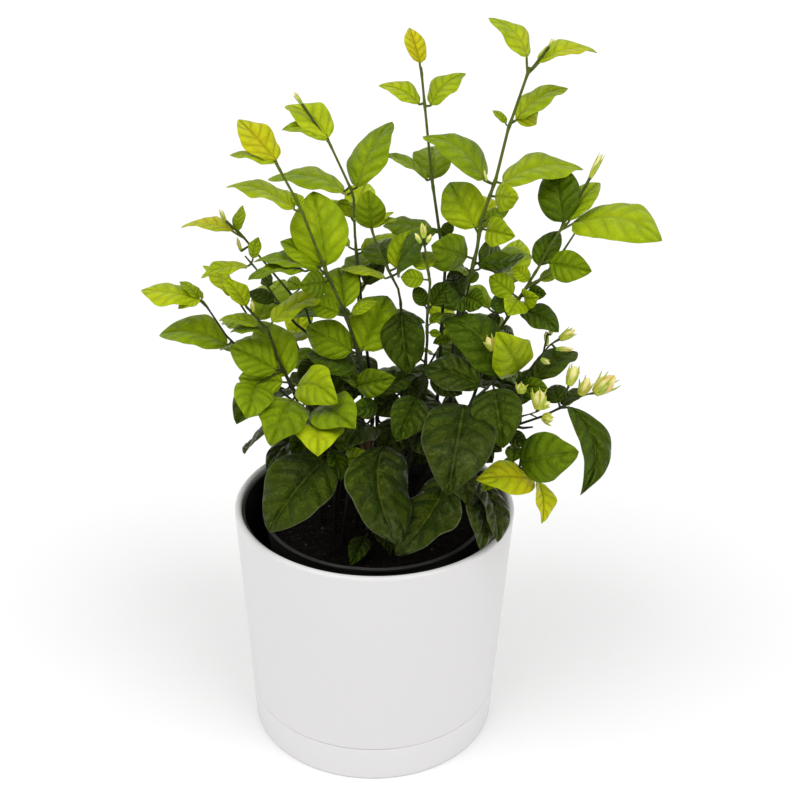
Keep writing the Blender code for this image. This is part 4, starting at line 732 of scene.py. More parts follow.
def in_pot(blade):
    """Whether a blade reaches into the soil, a rim or a wall of the pots."""
    for t in blade.rows():
        for s in (-1.0, 0.0, 1.0):
            point = blade.surface(s, t)
            out = math.hypot(point.x, point.y)
            if t < 0 and point.z > SOIL_TOP + STEM_FREE:
                continue
            if any(point.z < low and out > near for low, near in POT_LIMITS):
                return True
    return False


def bend_order():
    """The ways to bend a leaf clear, the smallest first: tip shifts in metres and turns in degrees."""
    ways = [
        (shift / 1000, turn)
        for shift in (0, 4, -4, 8, -8, 12, -12, 17, -17, 23, -23, 30, -30)
        for turn in (0, 12, -12, 24, -24, 38, -38)
    ]
    return sorted(ways, key=lambda w: abs(w[0]) * 1000 + abs(w[1]) * 0.4)


def stem_tree(path, radius):
    """A stem's clearance tube, three-sided, for asking whether a leaf touches it."""
    points = []
    faces = []
    thin = path[::4] + [path[-1]] if len(path) > 4 else path
    for i, point in enumerate(thin):
        along = (thin[min(i + 1, len(thin) - 1)] - thin[max(i - 1, 0)]).normalized()
        side = along.orthogonal().normalized()
        for corner in range(3):
            spoke = side.copy()
            spoke.rotate(Quaternion(along, math.radians(120 * corner)))
            points.append(point + spoke * radius * 1.5)
        if i:
            for corner in range(3):
                a, b = 3 * i + corner, 3 * i + (corner + 1) % 3
                faces += [(a - 3, b - 3, b), (a - 3, b, a)]
    return BVHTree.FromPolygons(points, faces)


Plant = namedtuple("Plant", "girth paths blades buds spray")
SetBud = namedtuple("SetBud", "heel neck tip radius sepals blush")


def set_bud(bud, paths):
    """A bud of the picture in space, as far off as the stem that it hangs on, give or take its own depth."""
    heel, _ = nearest_on(paths, bud.neck)
    far = (heel - EYE).dot(FORWARD) + bud.depth / 1000
    neck, tip = (EYE + sight(pixel) * far for pixel in (bud.neck, bud.tip))
    return SetBud(heel, neck, tip, bud.wide * far / FOCAL_PIXELS / 2, bud.sepals, bud.blush)


def seat_off(parent, seat, way, girth):
    """How far out along its way a spray starts, to stand a hair clear of the stem's side or of its end."""
    path = min(parent.paths, key=lambda path: min((p - seat).length for p in path))
    last = len(path) - 1
    i = min(range(last + 1), key=lambda i: (path[i] - seat).length)
    along = (path[min(i + 1, last)] - path[max(i - 1, 0)]).normalized()
    radius = parent.girth * (1 - STEM_TAPER * i / last)
    cosine = way.dot(along)
    sine = math.sqrt(1 - min(cosine**2, 0.999))
    off = (radius + SEAT_GAP + girth * abs(cosine)) / sine
    if i == last and cosine > 0:
        off = min(off, (SEAT_GAP + girth * sine) / cosine)
    return off


def spray_paths(spray, parent):
    """A spray's stems. The first starts a hair off the side or the end of the stem that carries it."""
    paths = []
    for stem in spray.stems:
        points = [place((x, y), depth / 1000) for x, y, depth in stem]
        if paths:
            points[0] = nearest_on(paths, seen_at(points[0]))[0]
        else:
            seat = nearest_on(parent.paths, seen_at(points[0]), 0)[0]
            way = (points[1] - seat).normalized()
            points[0] = seat + way * seat_off(parent, seat, way, spray.girth / 1000)
        paths.append(straightened(smooth_path(points, SAMPLE_STEP / 2)))
    return paths


def read_plants():
    """Every stem and spray as read off the picture, and the back stems by rule, before any leaf is bent."""
    plants = {}
    for number, shoot in enumerate(SHOOTS):
        paths = stem_paths(shoot)
        blades = [
            read_blade(leaf, paths, number * 1.7 + i * 2.4)
            for i, leaf in enumerate(shoot.leaves)
        ]
        buds = [set_bud(bud, paths) for bud in shoot.buds]
        plants[shoot.name] = Plant(shoot.girth / 1000, paths, blades, buds, False)
    for spray in SPRAYS:
        paths = spray_paths(spray, plants[spray.on])
        buds = [set_bud(bud, paths) for bud in spray.buds]
        plants[spray.name] = Plant(spray.girth / 1000, paths, [], buds, True)
    for stem in BACK_STEMS:
        path = back_path(stem)
        plants[stem.name] = Plant(BACK_GIRTH, [path], back_blades(stem, path), [], False)
    return plants


def touches(tried, name, stems, standing):
    """How badly a leaf touches others: ten for each of another plant, one for each of its own."""
    whole, outer = tried.tree(CLEAR_THICK), tried.tree(CLEAR_THICK, outer=True)
    hits = 100 * in_pot(tried)
    for other, trees in stems.items():
        mine = outer if other == name else whole
        weight = 1 if other == name else 10
        hits += weight * sum(bool(mine.overlap(tree)) for tree in trees)
    for other, trees in standing.items():
        for other_whole, other_outer in trees:
            if other == name:
                hits += bool(outer.overlap(other_outer))
            else:
                hits += 10 * bool(whole.overlap(other_whole))
    return hits, (whole, outer)


def grow():
    """All stems, leaves and buds. Each leaf is bent clear of what stands, or else left out."""
    plants = read_plants()
    stems = {"old_trunk": [stem_tree(trunk_path(), TRUNK_RADIUS)]}
    for name, plant in plants.items():
        stems[name] = [stem_tree(path, plant.girth) for path in plant.paths]
        for bud in plant.buds:
            stems[name].append(stem_tree([bud.heel, bud.neck], BUD_STALK))
            stems[name].append(stem_tree([bud.neck, bud.tip], bud.radius))
    standing = {name: [] for name in plants}
    for name, plant in plants.items():
        for blade in plant.blades[:]:
            best = (1000, None, None)
            for shift, turn in bend_order():
                tried = blade.bent(shift, turn)
                hits, trees = touches(tried, name, stems, standing)
                if hits < best[0]:
                    best = (hits, tried, trees)
                if not hits:
                    break
            place_in_list = plant.blades.index(blade)
            if best[0] < 10:
                plant.blades[place_in_list] = best[1]
                standing[name].append(best[2])
            else:
                plant.blades.remove(blade)
    return plants


class Wiring:
    """Adds nodes to a node tree, from left to right, and links or sets what each is given."""

    STEP = 190

    def __init__(self, tree):
        self.tree = tree
        self.count = 0

    def add(self, kind, inputs=None, **settings):
        """A node of a kind with its settings made and its inputs linked or set."""
        node = self.tree.nodes.new(kind)
        node.location = (self.STEP * (self.count // 4), -self.STEP * (self.count % 4))
        self.count += 1
        for key, value in settings.items():
            setattr(node, key, value)
        for key, value in (inputs or {}).items():
            self.put(node.inputs[key], value)
        return node

    def put(self, socket, value):
        """Links a socket to another's output, or sets it."""
        if isinstance(value, bpy.types.NodeSocket):
            self.tree.links.new(value, socket)
        elif socket.type == "RGBA":
            socket.default_value = (*value[:3], 1.0)
        else:
            socket.default_value = value

    def math(self, operation, first, second=0.0, clamp=False):
        """A sum on one or two values."""
        node = self.add("ShaderNodeMath", {0: first, 1: second}, operation=operation)
        node.use_clamp = clamp
        return node.outputs[0]

    def times(self, first, second):
        """The product of two values."""
        return self.math("MULTIPLY", first, second)

    def plus(self, first, second):
        """The sum of two values."""
        return self.math("ADD", first, second)

    def bump(self, shader, height, strength, distance, **settings):
        """A skin on a shader, as rough as a height says."""
        inputs = {"Height": height, "Strength": strength, "Distance": distance}
        node = self.add("ShaderNodeBump", inputs, **settings)
        self.put(shader.inputs["Normal"], node.outputs["Normal"])

    def coat(self, shader, colour, rough):
        """A shader's colour and how rough it is."""
        self.put(shader.inputs["Base Color"], colour)
        self.put(shader.inputs["Roughness"], rough)

    def grain(self, place, broad, fine):
        """The outputs of the mottled grain at two scales."""
        inputs = {"Place": place, "Broad Scale": broad, "Fine Scale": fine}
        return placed(self, grain_group(), inputs).outputs

    def fade(self, value, low, high, start=0.0, end=1.0):
        """A value that turns softly from start to end as another goes from low to high."""
        inputs = {"Value": value, "From Min": low, "From Max": high, "To Min": start, "To Max": end}
        node = self.add("ShaderNodeMapRange", inputs, interpolation_type="SMOOTHSTEP")
        return node.outputs["Result"]

    def mix(self, share, first, second, blend="MIX"):
        """A colour between two others."""
        node = self.add("ShaderNodeMix", data_type="RGBA", blend_type=blend)
        for socket, value in ((0, share), (6, first), (7, second)):
            self.put(node.inputs[socket], value)
        return node.outputs[2]

    def noise(self, vector, scale, detail=2.0, rough=0.5):
        """A cloudy value from 0 to 1."""
        inputs = {"Vector": vector, "Scale": scale, "Detail": detail, "Roughness": rough}
        return self.add("ShaderNodeTexNoise", inputs).outputs["Fac"]

    def ramp(self, value, stops):
        """A colour that follows a value through (place, colour) stops."""
        node = self.add("ShaderNodeValToRGB", {"Fac": value})
        elements = node.color_ramp.elements
        while len(elements) < len(stops):
            elements.new(0.5)
        for element, (where, colour) in zip(elements, stops):
            element.position = where
            element.color = (*colour, 1.0)
        return node.outputs["Color"]

    def attribute(self, name):
        """A value that a mesh carries on its points."""
        return self.add("ShaderNodeAttribute", attribute_name=name).outputs["Fac"]

    def place(self):
        """The place on the piece, in metres."""
        return self.add("ShaderNodeTexCoord").outputs["Object"]


def group_of(name, inputs, outputs, fill):
    """A node group with named inputs and outputs, built once."""
    if name in bpy.data.node_groups:
        return bpy.data.node_groups[name]
    made = bpy.data.node_groups.new(name, "ShaderNodeTree")
    for way, sockets in (("INPUT", inputs), ("OUTPUT", outputs)):
        for label, kind in sockets:
            made.interface.new_socket(label, in_out=way, socket_type=f"NodeSocket{kind}")
    wiring = Wiring(made)
    given = wiring.add("NodeGroupInput").outputs
    result = fill(wiring, given)
    wiring.add("NodeGroupOutput", result)
    return made



def placed(wiring, group, inputs):
    """A group's node with its inputs linked or set."""
    node = wiring.add("ShaderNodeGroup", node_tree=group)
    for key, value in inputs.items():
        wiring.put(node.inputs[key], value)
    return node


def new_material(name, **plain):
    """A material with its Principled shader, the plain values set on the shader's own sockets."""
    made = bpy.data.materials.new(name)
    made.use_nodes = True
    shader = made.node_tree.nodes["Principled BSDF"]
    wiring = Wiring(made.node_tree)
    for label, value in plain.items():
        wiring.put(shader.inputs[label.replace("_", " ")], value)
    shader.location = (1900, 200)
    made.node_tree.nodes["Material Output"].location = (2200, 200)
    return made, shader, wiring


def colour_of(name, description, default):
    """A setting that holds a colour."""
    return FloatVectorProperty(
        name=name, description=description, subtype="COLOR", default=default, min=0, max=1
    )


def length_of(name, description, default):
    """A setting that holds a length in metres."""
    return FloatProperty(name=name, description=description, default=default, unit="LENGTH")


def share_of(name, description, default):
    """A setting that holds a share of something else."""
    return FloatProperty(name=name, description=description, default=default, subtype="FACTOR")


class PotSettings(PropertyGroup):
    """Sizes and colours of the planter and the two black pots inside it."""

    steps: IntProperty(
        name="Steps round", description="Faces round each turned piece", default=144, min=24
    )
    seam_groove: length_of("Seam groove", "Depth of the groove between planter and saucer", 0.0007)
    white: colour_of("White plastic", "Colour of planter and saucer", (0.74, 0.73, 0.735))
    black: colour_of("Black plastic", "Colour of liner and nursery pot", (0.013, 0.013, 0.011))


class SoilSettings(PropertyGroup):
    """The potting mix and what lies on it."""

    rise: length_of("Unevenness", "Height of the soil's lumps", 0.0016)
    chips: IntProperty(
        name="Chips", description="Bark chips and grains on the soil", default=260, min=0
    )
    chip_size: length_of("Chip size", "Length of the largest chips", 0.0042)
    dark: colour_of("Potting mix", "Colour of the soil", (0.006, 0.0045, 0.0035))


def mesh_of(name, shape):
    """A mesh made of a bmesh, which is then let go."""
    mesh = bpy.data.meshes.new(name)
    shape.to_mesh(mesh)
    shape.free()
    return mesh


def linked(name, data):
    """A new object in the scene that holds a mesh, a curve, a light or a camera."""
    obj = bpy.data.objects.new(name, data)
    bpy.context.scene.collection.objects.link(obj)
    return obj


def arc(centre, radius, start, end, count):
    """Points on an arc in the profile plane, angles in degrees from +X."""
    angles = [math.radians(start + (end - start) * i / count) for i in range(count + 1)]
    return [
        (centre[0] + radius * math.cos(a), centre[1] + radius * math.sin(a)) for a in angles
    ]


def turned(profile, steps, ring=False):
    """A bmesh of a profile of (radius, height) points spun a full turn round Z. A ring closes on itself."""
    shape = bmesh.new()
    verts = [shape.verts.new((radius, 0, height)) for radius, height in profile]
    edges = [shape.edges.new(pair) for pair in zip(verts, verts[1:])]
    if ring:
        edges.append(shape.edges.new((verts[-1], verts[0])))
    bmesh.ops.spin(
        shape, geom=verts + edges, cent=(0, 0, 0), axis=(0, 0, 1), dvec=(0, 0, 0),
        angle=math.tau, steps=steps, use_merge=True,
    )
    bmesh.ops.remove_doubles(shape, verts=shape.verts, dist=1e-6)
    bmesh.ops.recalc_face_normals(shape, faces=shape.faces)
    return shape


def new_piece(name, shape, finishes, nodes, sharp=35.0):
    """A finished piece: the bmesh made an object that stands for its nodes and rides with the pot."""
    mesh = shape
    if isinstance(shape, bmesh.types.BMesh):
        mesh = mesh_of(name, shape)
    mesh.name = name
    obj = linked(name, mesh)
    if len(mesh.materials) < len(finishes):
        for finish in finishes:
            mesh.materials.append(finish)
    mesh.shade_smooth()
    mesh.set_sharp_from_angle(angle=math.radians(sharp))
    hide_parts(*nodes)
    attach(obj, BODY)
    return obj


def outer_radius(z):
    """The planter's outer radius at a height: one straight taper from the saucer's foot to the rim."""
    return PLANTER_FOOT_RADIUS + (PLANTER_RIM_RADIUS - PLANTER_FOOT_RADIUS) * z / PLANTER_TOP


def nursery_radius(z):
    """The nursery pot's outer radius at a height below its rolled rim."""
    share = (z - NURSERY_FOOT) / (NURSERY_TOP - NURSERY_FOOT)
    under_rim = NURSERY_RIM_RADIUS - 2 * NURSERY_ROLL + NURSERY_WALL
    return NURSERY_FOOT_RADIUS + (under_rim - NURSERY_FOOT_RADIUS) * share


def grain_group():
    """Mottling and fine grain of moulded plastic, bark or soil."""

    def fill(wiring, given):
        broad = wiring.noise(given["Place"], given["Broad Scale"], 4.0)
        fine = wiring.noise(given["Place"], given["Fine Scale"], 3.0, 0.6)
        both = wiring.plus(wiring.times(broad, 0.6), wiring.times(fine, 0.4))
        return {"Mottle": broad, "Fine": fine, "Height": both}

    return group_of(
        "grain",
        (("Place", "Vector"), ("Broad Scale", "Float"), ("Fine Scale", "Float")),
        (("Mottle", "Float"), ("Fine", "Float"), ("Height", "Float")),
        fill,
    )


def plastic(name, colour, shade, broad, fine, gloss, bump):
    """Moulded plastic: its colour mottled towards a shade, its gloss uneven, a faint moulded skin."""
    made, shader, wiring = new_material(name, Specular_IOR_Level=0.5)
    grain = wiring.grain(wiring.place(), broad, fine)
    patch = wiring.fade(grain["Mottle"], 0.35, 0.7)
    wiring.put(shader.inputs["Base Color"], wiring.mix(patch, colour, shade))
    rough = wiring.fade(grain["Mottle"], 0.3, 0.7, *gloss)
    wiring.put(shader.inputs["Roughness"], rough)
    wiring.bump(shader, grain["Fine"], bump, 0.0001)
    return made


def white_plastic(pot):
    """The planter's white plastic, satin, hardly mottled."""
    if "white_plastic" in bpy.data.materials:
        return bpy.data.materials["white_plastic"]
    white = tuple(pot.white)
    return plastic(
        "white_plastic", white, tuple(part * 0.965 for part in white), 18.0, 900.0,
        (0.34, 0.46), 0.12,
    )


def black_plastic(name, black, lift, gloss):
    """A pot's black plastic, with a faint dusty bloom."""
    bloom = tuple(part + lift for part in black)
    return plastic(name, black, bloom, 45.0, 600.0, gloss, 0.3)


class JASMINE_OT_saucer(Operator):
    """Make the saucer that carries the planter, with a groove round the seam"""

    bl_idname = "jasmine.saucer"
    bl_label = "Saucer"

    def execute(self, context):
        pot = context.scene.jasmine_pot
        top = SEAM_HEIGHT - GAP
        inside = outer_radius(top) - SAUCER_WALL
        groove = pot.seam_groove
        foot_middle = (outer_radius(0) - SAUCER_EDGE, SAUCER_EDGE)
        edge_middle = (outer_radius(top) - groove, top - groove)
        fillet_middle = (inside - SAUCER_FILLET, SAUCER_FLOOR + SAUCER_FILLET)
        profile = [
            (0, SAUCER_FLOOR),
            (inside / 2, SAUCER_FLOOR),
            *arc(fillet_middle, SAUCER_FILLET, -90, 0, 5),
            (inside, top),
            *arc(edge_middle, groove, 90, 0, 5),
            *arc(foot_middle, SAUCER_EDGE, 0, -90, 6),
            (inside / 2, 0),
            (0, 0),
        ]
        new_piece(
            "saucer_band", turned(profile, pot.steps), [white_plastic(pot)],
            ["planter_saucer"],
        )
        return {"FINISHED"}


class JASMINE_OT_planter(Operator):
    """Make the white planter with its round rim, its floor and its drain hole"""

    bl_idname = "jasmine.planter"
    bl_label = "Planter"

    def execute(self, context):
        pot = context.scene.jasmine_pot
        half = PLANTER_WALL / 2
        floor = SEAM_HEIGHT + PLANTER_FLOOR
        groove = pot.seam_groove
        rim_middle = (PLANTER_RIM_RADIUS - half, PLANTER_TOP - half)
        low_middle = (outer_radius(SEAM_HEIGHT) - groove, SEAM_HEIGHT + groove)
        spigot = outer_radius(SEAM_HEIGHT) - SAUCER_WALL - 2 * GAP
        profile = [
            (DRAIN_RADIUS, floor),
            (outer_radius(floor) - PLANTER_WALL, floor),
            *arc(rim_middle, half, 180, 0, 14),
            *arc(low_middle, groove, 0, -90, 5),
            (spigot, SEAM_HEIGHT),
            (spigot, SEAM_HEIGHT - SPIGOT_DEPTH),
            (spigot - SPIGOT_WALL, SEAM_HEIGHT - SPIGOT_DEPTH),
            (spigot - SPIGOT_WALL, SEAM_HEIGHT),
            (DRAIN_RADIUS, SEAM_HEIGHT),
        ]
        new_piece(
            "planter_shell", turned(profile, pot.steps, ring=True), [white_plastic(pot)],
            ["planter"],
        )
        return {"FINISHED"}


class JASMINE_OT_liner(Operator):
    """Make the thin black liner inside the planter"""

    bl_idname = "jasmine.liner"
    bl_label = "Liner"

    def execute(self, context):
        pot = context.scene.jasmine_pot
        foot = SEAM_HEIGHT + PLANTER_FLOOR + GAP
        low, high = (outer_radius(z) - PLANTER_WALL - GAP for z in (foot, LINER_TOP))
        half = LINER_WALL / 2
        profile = [
            (DRAIN_RADIUS, foot + LINER_WALL),
            (low - LINER_WALL, foot + LINER_WALL),
            *arc((high - half, LINER_TOP - half), half, 180, 0, 8),
            (low, foot),
            (DRAIN_RADIUS, foot),
        ]
        finish = black_plastic("liner_plastic", tuple(pot.black), 0.006, (0.42, 0.55))
        new_piece(
            "liner_wall", turned(profile, pot.steps, ring=True), [finish],
            ["planter_liner"],
        )
        return {"FINISHED"}


class JASMINE_OT_nursery_pot(Operator):
    """Make the grower's pot with its double-ridged rim, dented at the front"""

    bl_idname = "jasmine.nursery_pot"
    bl_label = "Nursery Pot"

    RIDGE = NURSERY_ROLL / 2
    DENT_WAY = math.radians(-97)
    DENT_SPREAD = 0.11
    DENT_DEPTH = 0.0011

    def execute(self, context):
        pot = context.scene.jasmine_pot
        middle = NURSERY_TOP - self.RIDGE
        outer = (NURSERY_RIM_RADIUS - self.RIDGE, middle)
        inner = (NURSERY_RIM_RADIUS - 3 * self.RIDGE, middle)
        skirt = NURSERY_TOP - 2 * NURSERY_ROLL
        profile = [
            (DRAIN_RADIUS, NURSERY_FOOT + NURSERY_WALL),
            (NURSERY_FOOT_RADIUS - NURSERY_WALL, NURSERY_FOOT + NURSERY_WALL),
            (nursery_radius(skirt) - NURSERY_WALL, skirt),
            *arc(inner, self.RIDGE, 180, 20, 7),
            *arc(outer, self.RIDGE, 160, -20, 8),
            (NURSERY_RIM_RADIUS - 0.3 * self.RIDGE, skirt + self.RIDGE),
            (nursery_radius(skirt), skirt),
            (NURSERY_FOOT_RADIUS, NURSERY_FOOT),
            (DRAIN_RADIUS, NURSERY_FOOT),
        ]
        shape = turned(profile, pot.steps, ring=True)
        for vert in shape.verts:
            if vert.co.z < skirt:
                continue
            off = math.remainder(math.atan2(vert.co.y, vert.co.x) - self.DENT_WAY, math.tau)
            dent = self.DENT_DEPTH * math.exp(-((off / self.DENT_SPREAD) ** 2))
            vert.co -= Vector((vert.co.x, vert.co.y, 0)).normalized() * dent
            vert.co.z -= dent * 0.4
        finish = black_plastic("nursery_plastic", tuple(pot.black), 0.004, (0.44, 0.6))
        new_piece("nursery_rim", shape, [finish], ["nursery_pot"])
        return {"FINISHED"}


def soil_height(x, y, rise):
    """The height of the soil's crumbly top."""
    rough = noise.noise(Vector((x, y, 0)) * 55) + 0.6 * noise.noise(Vector((x, y, 0.3)) * 130)
    crumbs = 0.34 * noise.noise(Vector((x, y, 0.7)) * 420) + 0.2 * noise.noise(Vector((x, y, 0.9)) * 900)
    return SOIL_TOP + rise * (rough + crumbs)


def soil_finish(dark):
    """Potting mix: nearly black, with reddish and pale crumbs."""
    made, shader, wiring = new_material("potting_mix", Specular_IOR_Level=0.08)
    place = wiring.place()
    grain = wiring.grain(place, 160.0, 700.0)
    crumb = wiring.add("ShaderNodeTexVoronoi", {"Vector": place, "Scale": 520.0})
    kind = wiring.times(crumb.outputs["Color"], 1.0)
    speck = wiring.ramp(
        kind,
        (
            (0.0, tuple(part * 0.5 for part in dark)),
            (0.55, dark),
            (0.86, (0.014, 0.008, 0.005)),
            (0.95, (0.035, 0.018, 0.010)),
            (1.0, (0.075, 0.06, 0.04)),
        ),
    )
    shade = wiring.fade(grain["Mottle"], 0.3, 0.7, 0.55, 1.15)
    tone = wiring.mix(1.0, speck, shade, "MULTIPLY")
    wiring.coat(shader, tone, wiring.fade(grain["Fine"], 0.3, 0.7, 0.75, 0.98))
    rough = wiring.math("SUBTRACT", grain["Height"], crumb.outputs["Distance"])
    wiring.bump(shader, rough, 0.9, 0.0008)
    return made


def chip_finish():
    """Bark chips and grains: dark brown to reddish, a few pale."""
    made, shader, wiring = new_material("soil_chips", Specular_IOR_Level=0.15)
    grain = wiring.grain(wiring.place(), 300.0, 1400.0)
    tone = wiring.ramp(
        wiring.attribute("chance"),
        (
            (0.0, (0.005, 0.0035, 0.0025)),
            (0.6, (0.012, 0.007, 0.004)),
            (0.86, (0.045, 0.020, 0.010)),
            (0.95, (0.07, 0.05, 0.03)),
            (1.0, (0.17, 0.15, 0.11)),
        ),
    )
    wiring.put(
        shader.inputs["Base Color"],
        wiring.mix(1.0, tone, wiring.fade(grain["Fine"], 0.3, 0.7, 0.6, 1.2), "MULTIPLY"),
    )
    wiring.put(shader.inputs["Roughness"], wiring.fade(grain["Mottle"], 0.3, 0.7, 0.6, 0.9))
    wiring.bump(shader, grain["Height"], 0.6, 0.0003)
    return made


class JASMINE_OT_soil(Operator):
    """Fill the nursery pot with potting mix and scatter bark chips and grains over it"""

    bl_idname = "jasmine.soil"
    bl_label = "Potting Soil"

    RINGS = 56
    RIM_KEEP = 0.004
    PLANT_KEEP = 0.0045
    CHIP_CORNERS = 12
    CHIP_SEED = 17

    def execute(self, context):
        soil = context.scene.jasmine_soil
        foot = NURSERY_FOOT + NURSERY_WALL + GAP
        inset = NURSERY_WALL + 2 * GAP
        edge = nursery_radius(SOIL_TOP) - inset
        profile = [(edge * i / self.RINGS, SOIL_TOP) for i in range(self.RINGS + 1)]
        profile += [(nursery_radius(foot) - inset, foot), (0, foot)]
        shape = turned(profile, context.scene.jasmine_pot.steps)
        for vert in shape.verts:
            if vert.co.z > SOIL_TOP - GAP:
                vert.co.z = soil_height(vert.co.x, vert.co.y, soil.rise)
        new_piece(
            "soil_bed", shape, [soil_finish(tuple(soil.dark))], ["potting_soil"],
            180,
        )
        self.scatter(soil, edge)
        return {"FINISHED"}

    def scatter(self, soil, edge):
        """Chips and grains lying flat on the soil, clear of the stems."""
        draw = random.Random(self.CHIP_SEED)
        chips = bmesh.new()
        chance = chips.verts.layers.float.new("chance")
        feet = [plant.paths[0][0] for plant in grown().values() if not plant.spray]
        feet.append(Vector((*TRUNK_FOOT, 0)))
        while len(chips.verts) < soil.chips * self.CHIP_CORNERS:
            out, way = (edge - self.RIM_KEEP) * math.sqrt(draw.random()), draw.uniform(0, math.tau)
            x, y = out * math.cos(way), out * math.sin(way)
            if any(math.hypot(foot.x - x, foot.y - y) < self.PLANT_KEEP for foot in feet):
                continue
            long = soil.chip_size * draw.uniform(0.22, 1.0) ** 1.6 / 2
            size = Matrix.Diagonal(
                (long, long * draw.uniform(0.35, 0.75), long * draw.uniform(0.25, 0.5), 1)
            )
            turn = Matrix.Rotation(draw.uniform(0, math.tau), 4, "Z")
            tilt = Matrix.Rotation(draw.uniform(-0.5, 0.5), 4, "X")
            rest = Matrix.Translation((x, y, soil_height(x, y, soil.rise) + long * 0.12))
            made = bmesh.ops.create_icosphere(chips, subdivisions=1, radius=1)["verts"]
            tone = draw.random()
            for vert in made:
                vert.co *= draw.uniform(0.72, 1.12)
                vert[chance] = tone
            bmesh.ops.transform(chips, matrix=rest @ turn @ tilt @ size, verts=made)
        new_piece("soil_chips", chips, [chip_finish()], ["potting_soil"], 25)


class JASMINE_OT_trunk(Operator):
    """Make the old trunk: a woody stub with ridged bark and a pale cut top"""

    bl_idname = "jasmine.trunk"
    bl_label = "Old Trunk"

    SIDES = 28
    ROWS = 60
    LIFT = 0.00045
    CUT_DISH = 0.0006
    CUT = ((0.9, 1.0), (0.45, 0.992), (0, 0.985))

    def execute(self, context):
        side = [(1, i / self.ROWS) for i in range(self.ROWS + 1)]
        shape = turned([(0, 0), *side, *self.CUT], self.SIDES)
        cut = [face for face in shape.faces if all(v.co.z > 0.98 for v in face.verts)]
        for face in cut:
            face.material_index = 1
        path = smooth_path(trunk_path()[1:], 0.001)
        path = [trunk_path()[0]] + path
        last = len(path) - 1
        for vert in shape.verts:
            share = min(vert.co.z, 0.9999) * last
            low = int(share)
            middle = path[low].lerp(path[low + 1], share - low)
            along = (path[low + 1] - path[low]).normalized()
            side = along.cross(Vector((0, 1, 0))).normalized()
            spoke = side * vert.co.x + side.cross(along) * vert.co.y
            ridge = noise.noise(Vector((vert.co.x * 3, vert.co.y * 3, vert.co.z * 5)))
            ridge += 0.6 * noise.noise(Vector((vert.co.x * 7, vert.co.y * 7, vert.co.z * 26)))
            radius = TRUNK_RADIUS + (self.LIFT * ridge if spoke.length > 0.95 else 0)
            vert.co = middle + spoke * radius - along * (1 - spoke.length) * self.CUT_DISH
        new_piece(
            "trunk_bark", shape, [bark_finish(), cut_finish()], ["old_trunk"], 50
        )
        return {"FINISHED"}


def bark_finish():
    """Old bark: grey-brown, cracked along its length."""
    made, shader, wiring = new_material("old_bark", Specular_IOR_Level=0.2)
    lie = wiring.add("ShaderNodeMapping", {"Vector": wiring.place(), "Scale": (1, 1, 0.3)})
    grain = wiring.grain(lie.outputs["Vector"], 420.0, 1500.0)
    tone = wiring.ramp(
        grain["Height"],
        ((0.3, (0.022, 0.012, 0.007)), (0.5, (0.10, 0.052, 0.026)), (0.7, (0.21, 0.13, 0.075))),
    )
    wiring.coat(shader, tone, wiring.fade(grain["Fine"], 0.3, 0.7, 0.75, 0.95))
    wiring.bump(shader, grain["Height"], 0.8, 0.0004)
    return made


def cut_finish():
    """The trunk's cut top: pale wood, mottled darker in places."""
    made, shader, wiring = new_material("cut_wood", Specular_IOR_Level=0.25)
    grain = wiring.grain(wiring.place(), 500.0, 2200.0)
    tone = wiring.ramp(
        grain["Height"],
        ((0.3, (0.16, 0.10, 0.055)), (0.6, (0.42, 0.32, 0.20)), (0.75, (0.55, 0.46, 0.33))),
    )
    wiring.coat(shader, tone, wiring.fade(grain["Fine"], 0.3, 0.7, 0.7, 0.95))
    return made


class LeafSettings(PropertyGroup):
    """Sizes and colours of the leaves."""

    thickness: length_of("Thickness", "Thickness of a leaf", 0.00045)
    fullness: share_of("Fullness", "Width of a leaf against its reading", 1.06)
    quilting: share_of("Quilting", "Rise between side veins on an old leaf, as a share of its width", 0.045)
    frill: share_of("Frill", "Waves of the margin, as a share of the length", 0.014)
    dents: share_of("Dents", "Uneven dents, as a share of the length", 0.035)
    crease: share_of("Midrib groove", "Depth of the midrib, as a share of the width", 0.016)
    folds: FloatVectorProperty(
        name="Folds", description="Least and most that a leaf is folded up beside its midrib", size=2,
        default=(-0.12, 0.26),
    )
    young: colour_of("Tip leaf", "Golden colour of the youngest leaves", (0.55, 0.49, 0.006))
    bright: colour_of("Fresh leaf", "Bright yellow-green of newly opened leaves", (0.40, 0.49, 0.006))
    lime: colour_of("Young leaf", "Lime colour of young leaves", (0.215, 0.318, 0.003))
    # The grown and old greens are partly the leaves' own darker green and partly painted shade, set darker
    # because the old leaves mostly sit low inside the plant.
    green: colour_of("Grown leaf", "Green of grown leaves", (0.053, 0.106, 0.0026))
    dark: colour_of("Old leaf", "Dark green of old leaves", (0.0115, 0.025, 0.002))


class BudSettings(PropertyGroup):
    """Sizes and colours of the buds and twigs."""

    sepal_width: length_of("Sepal width", "Width of a sepal near its root", 0.0019)
    cream: colour_of("Petal", "Cream colour of the buds", (0.80, 0.74, 0.27))
    blush: colour_of("Blush", "Pinkish orange on the ripest buds", (0.80, 0.52, 0.18))
    sepal: colour_of("Sepal", "Yellow-green of the sepals", (0.50, 0.56, 0.045))


PLANTS = {}


def grown():
    """The plant, grown once: every stem and spray by its name."""
    if not PLANTS:
        PLANTS.update(grow())
    return PLANTS
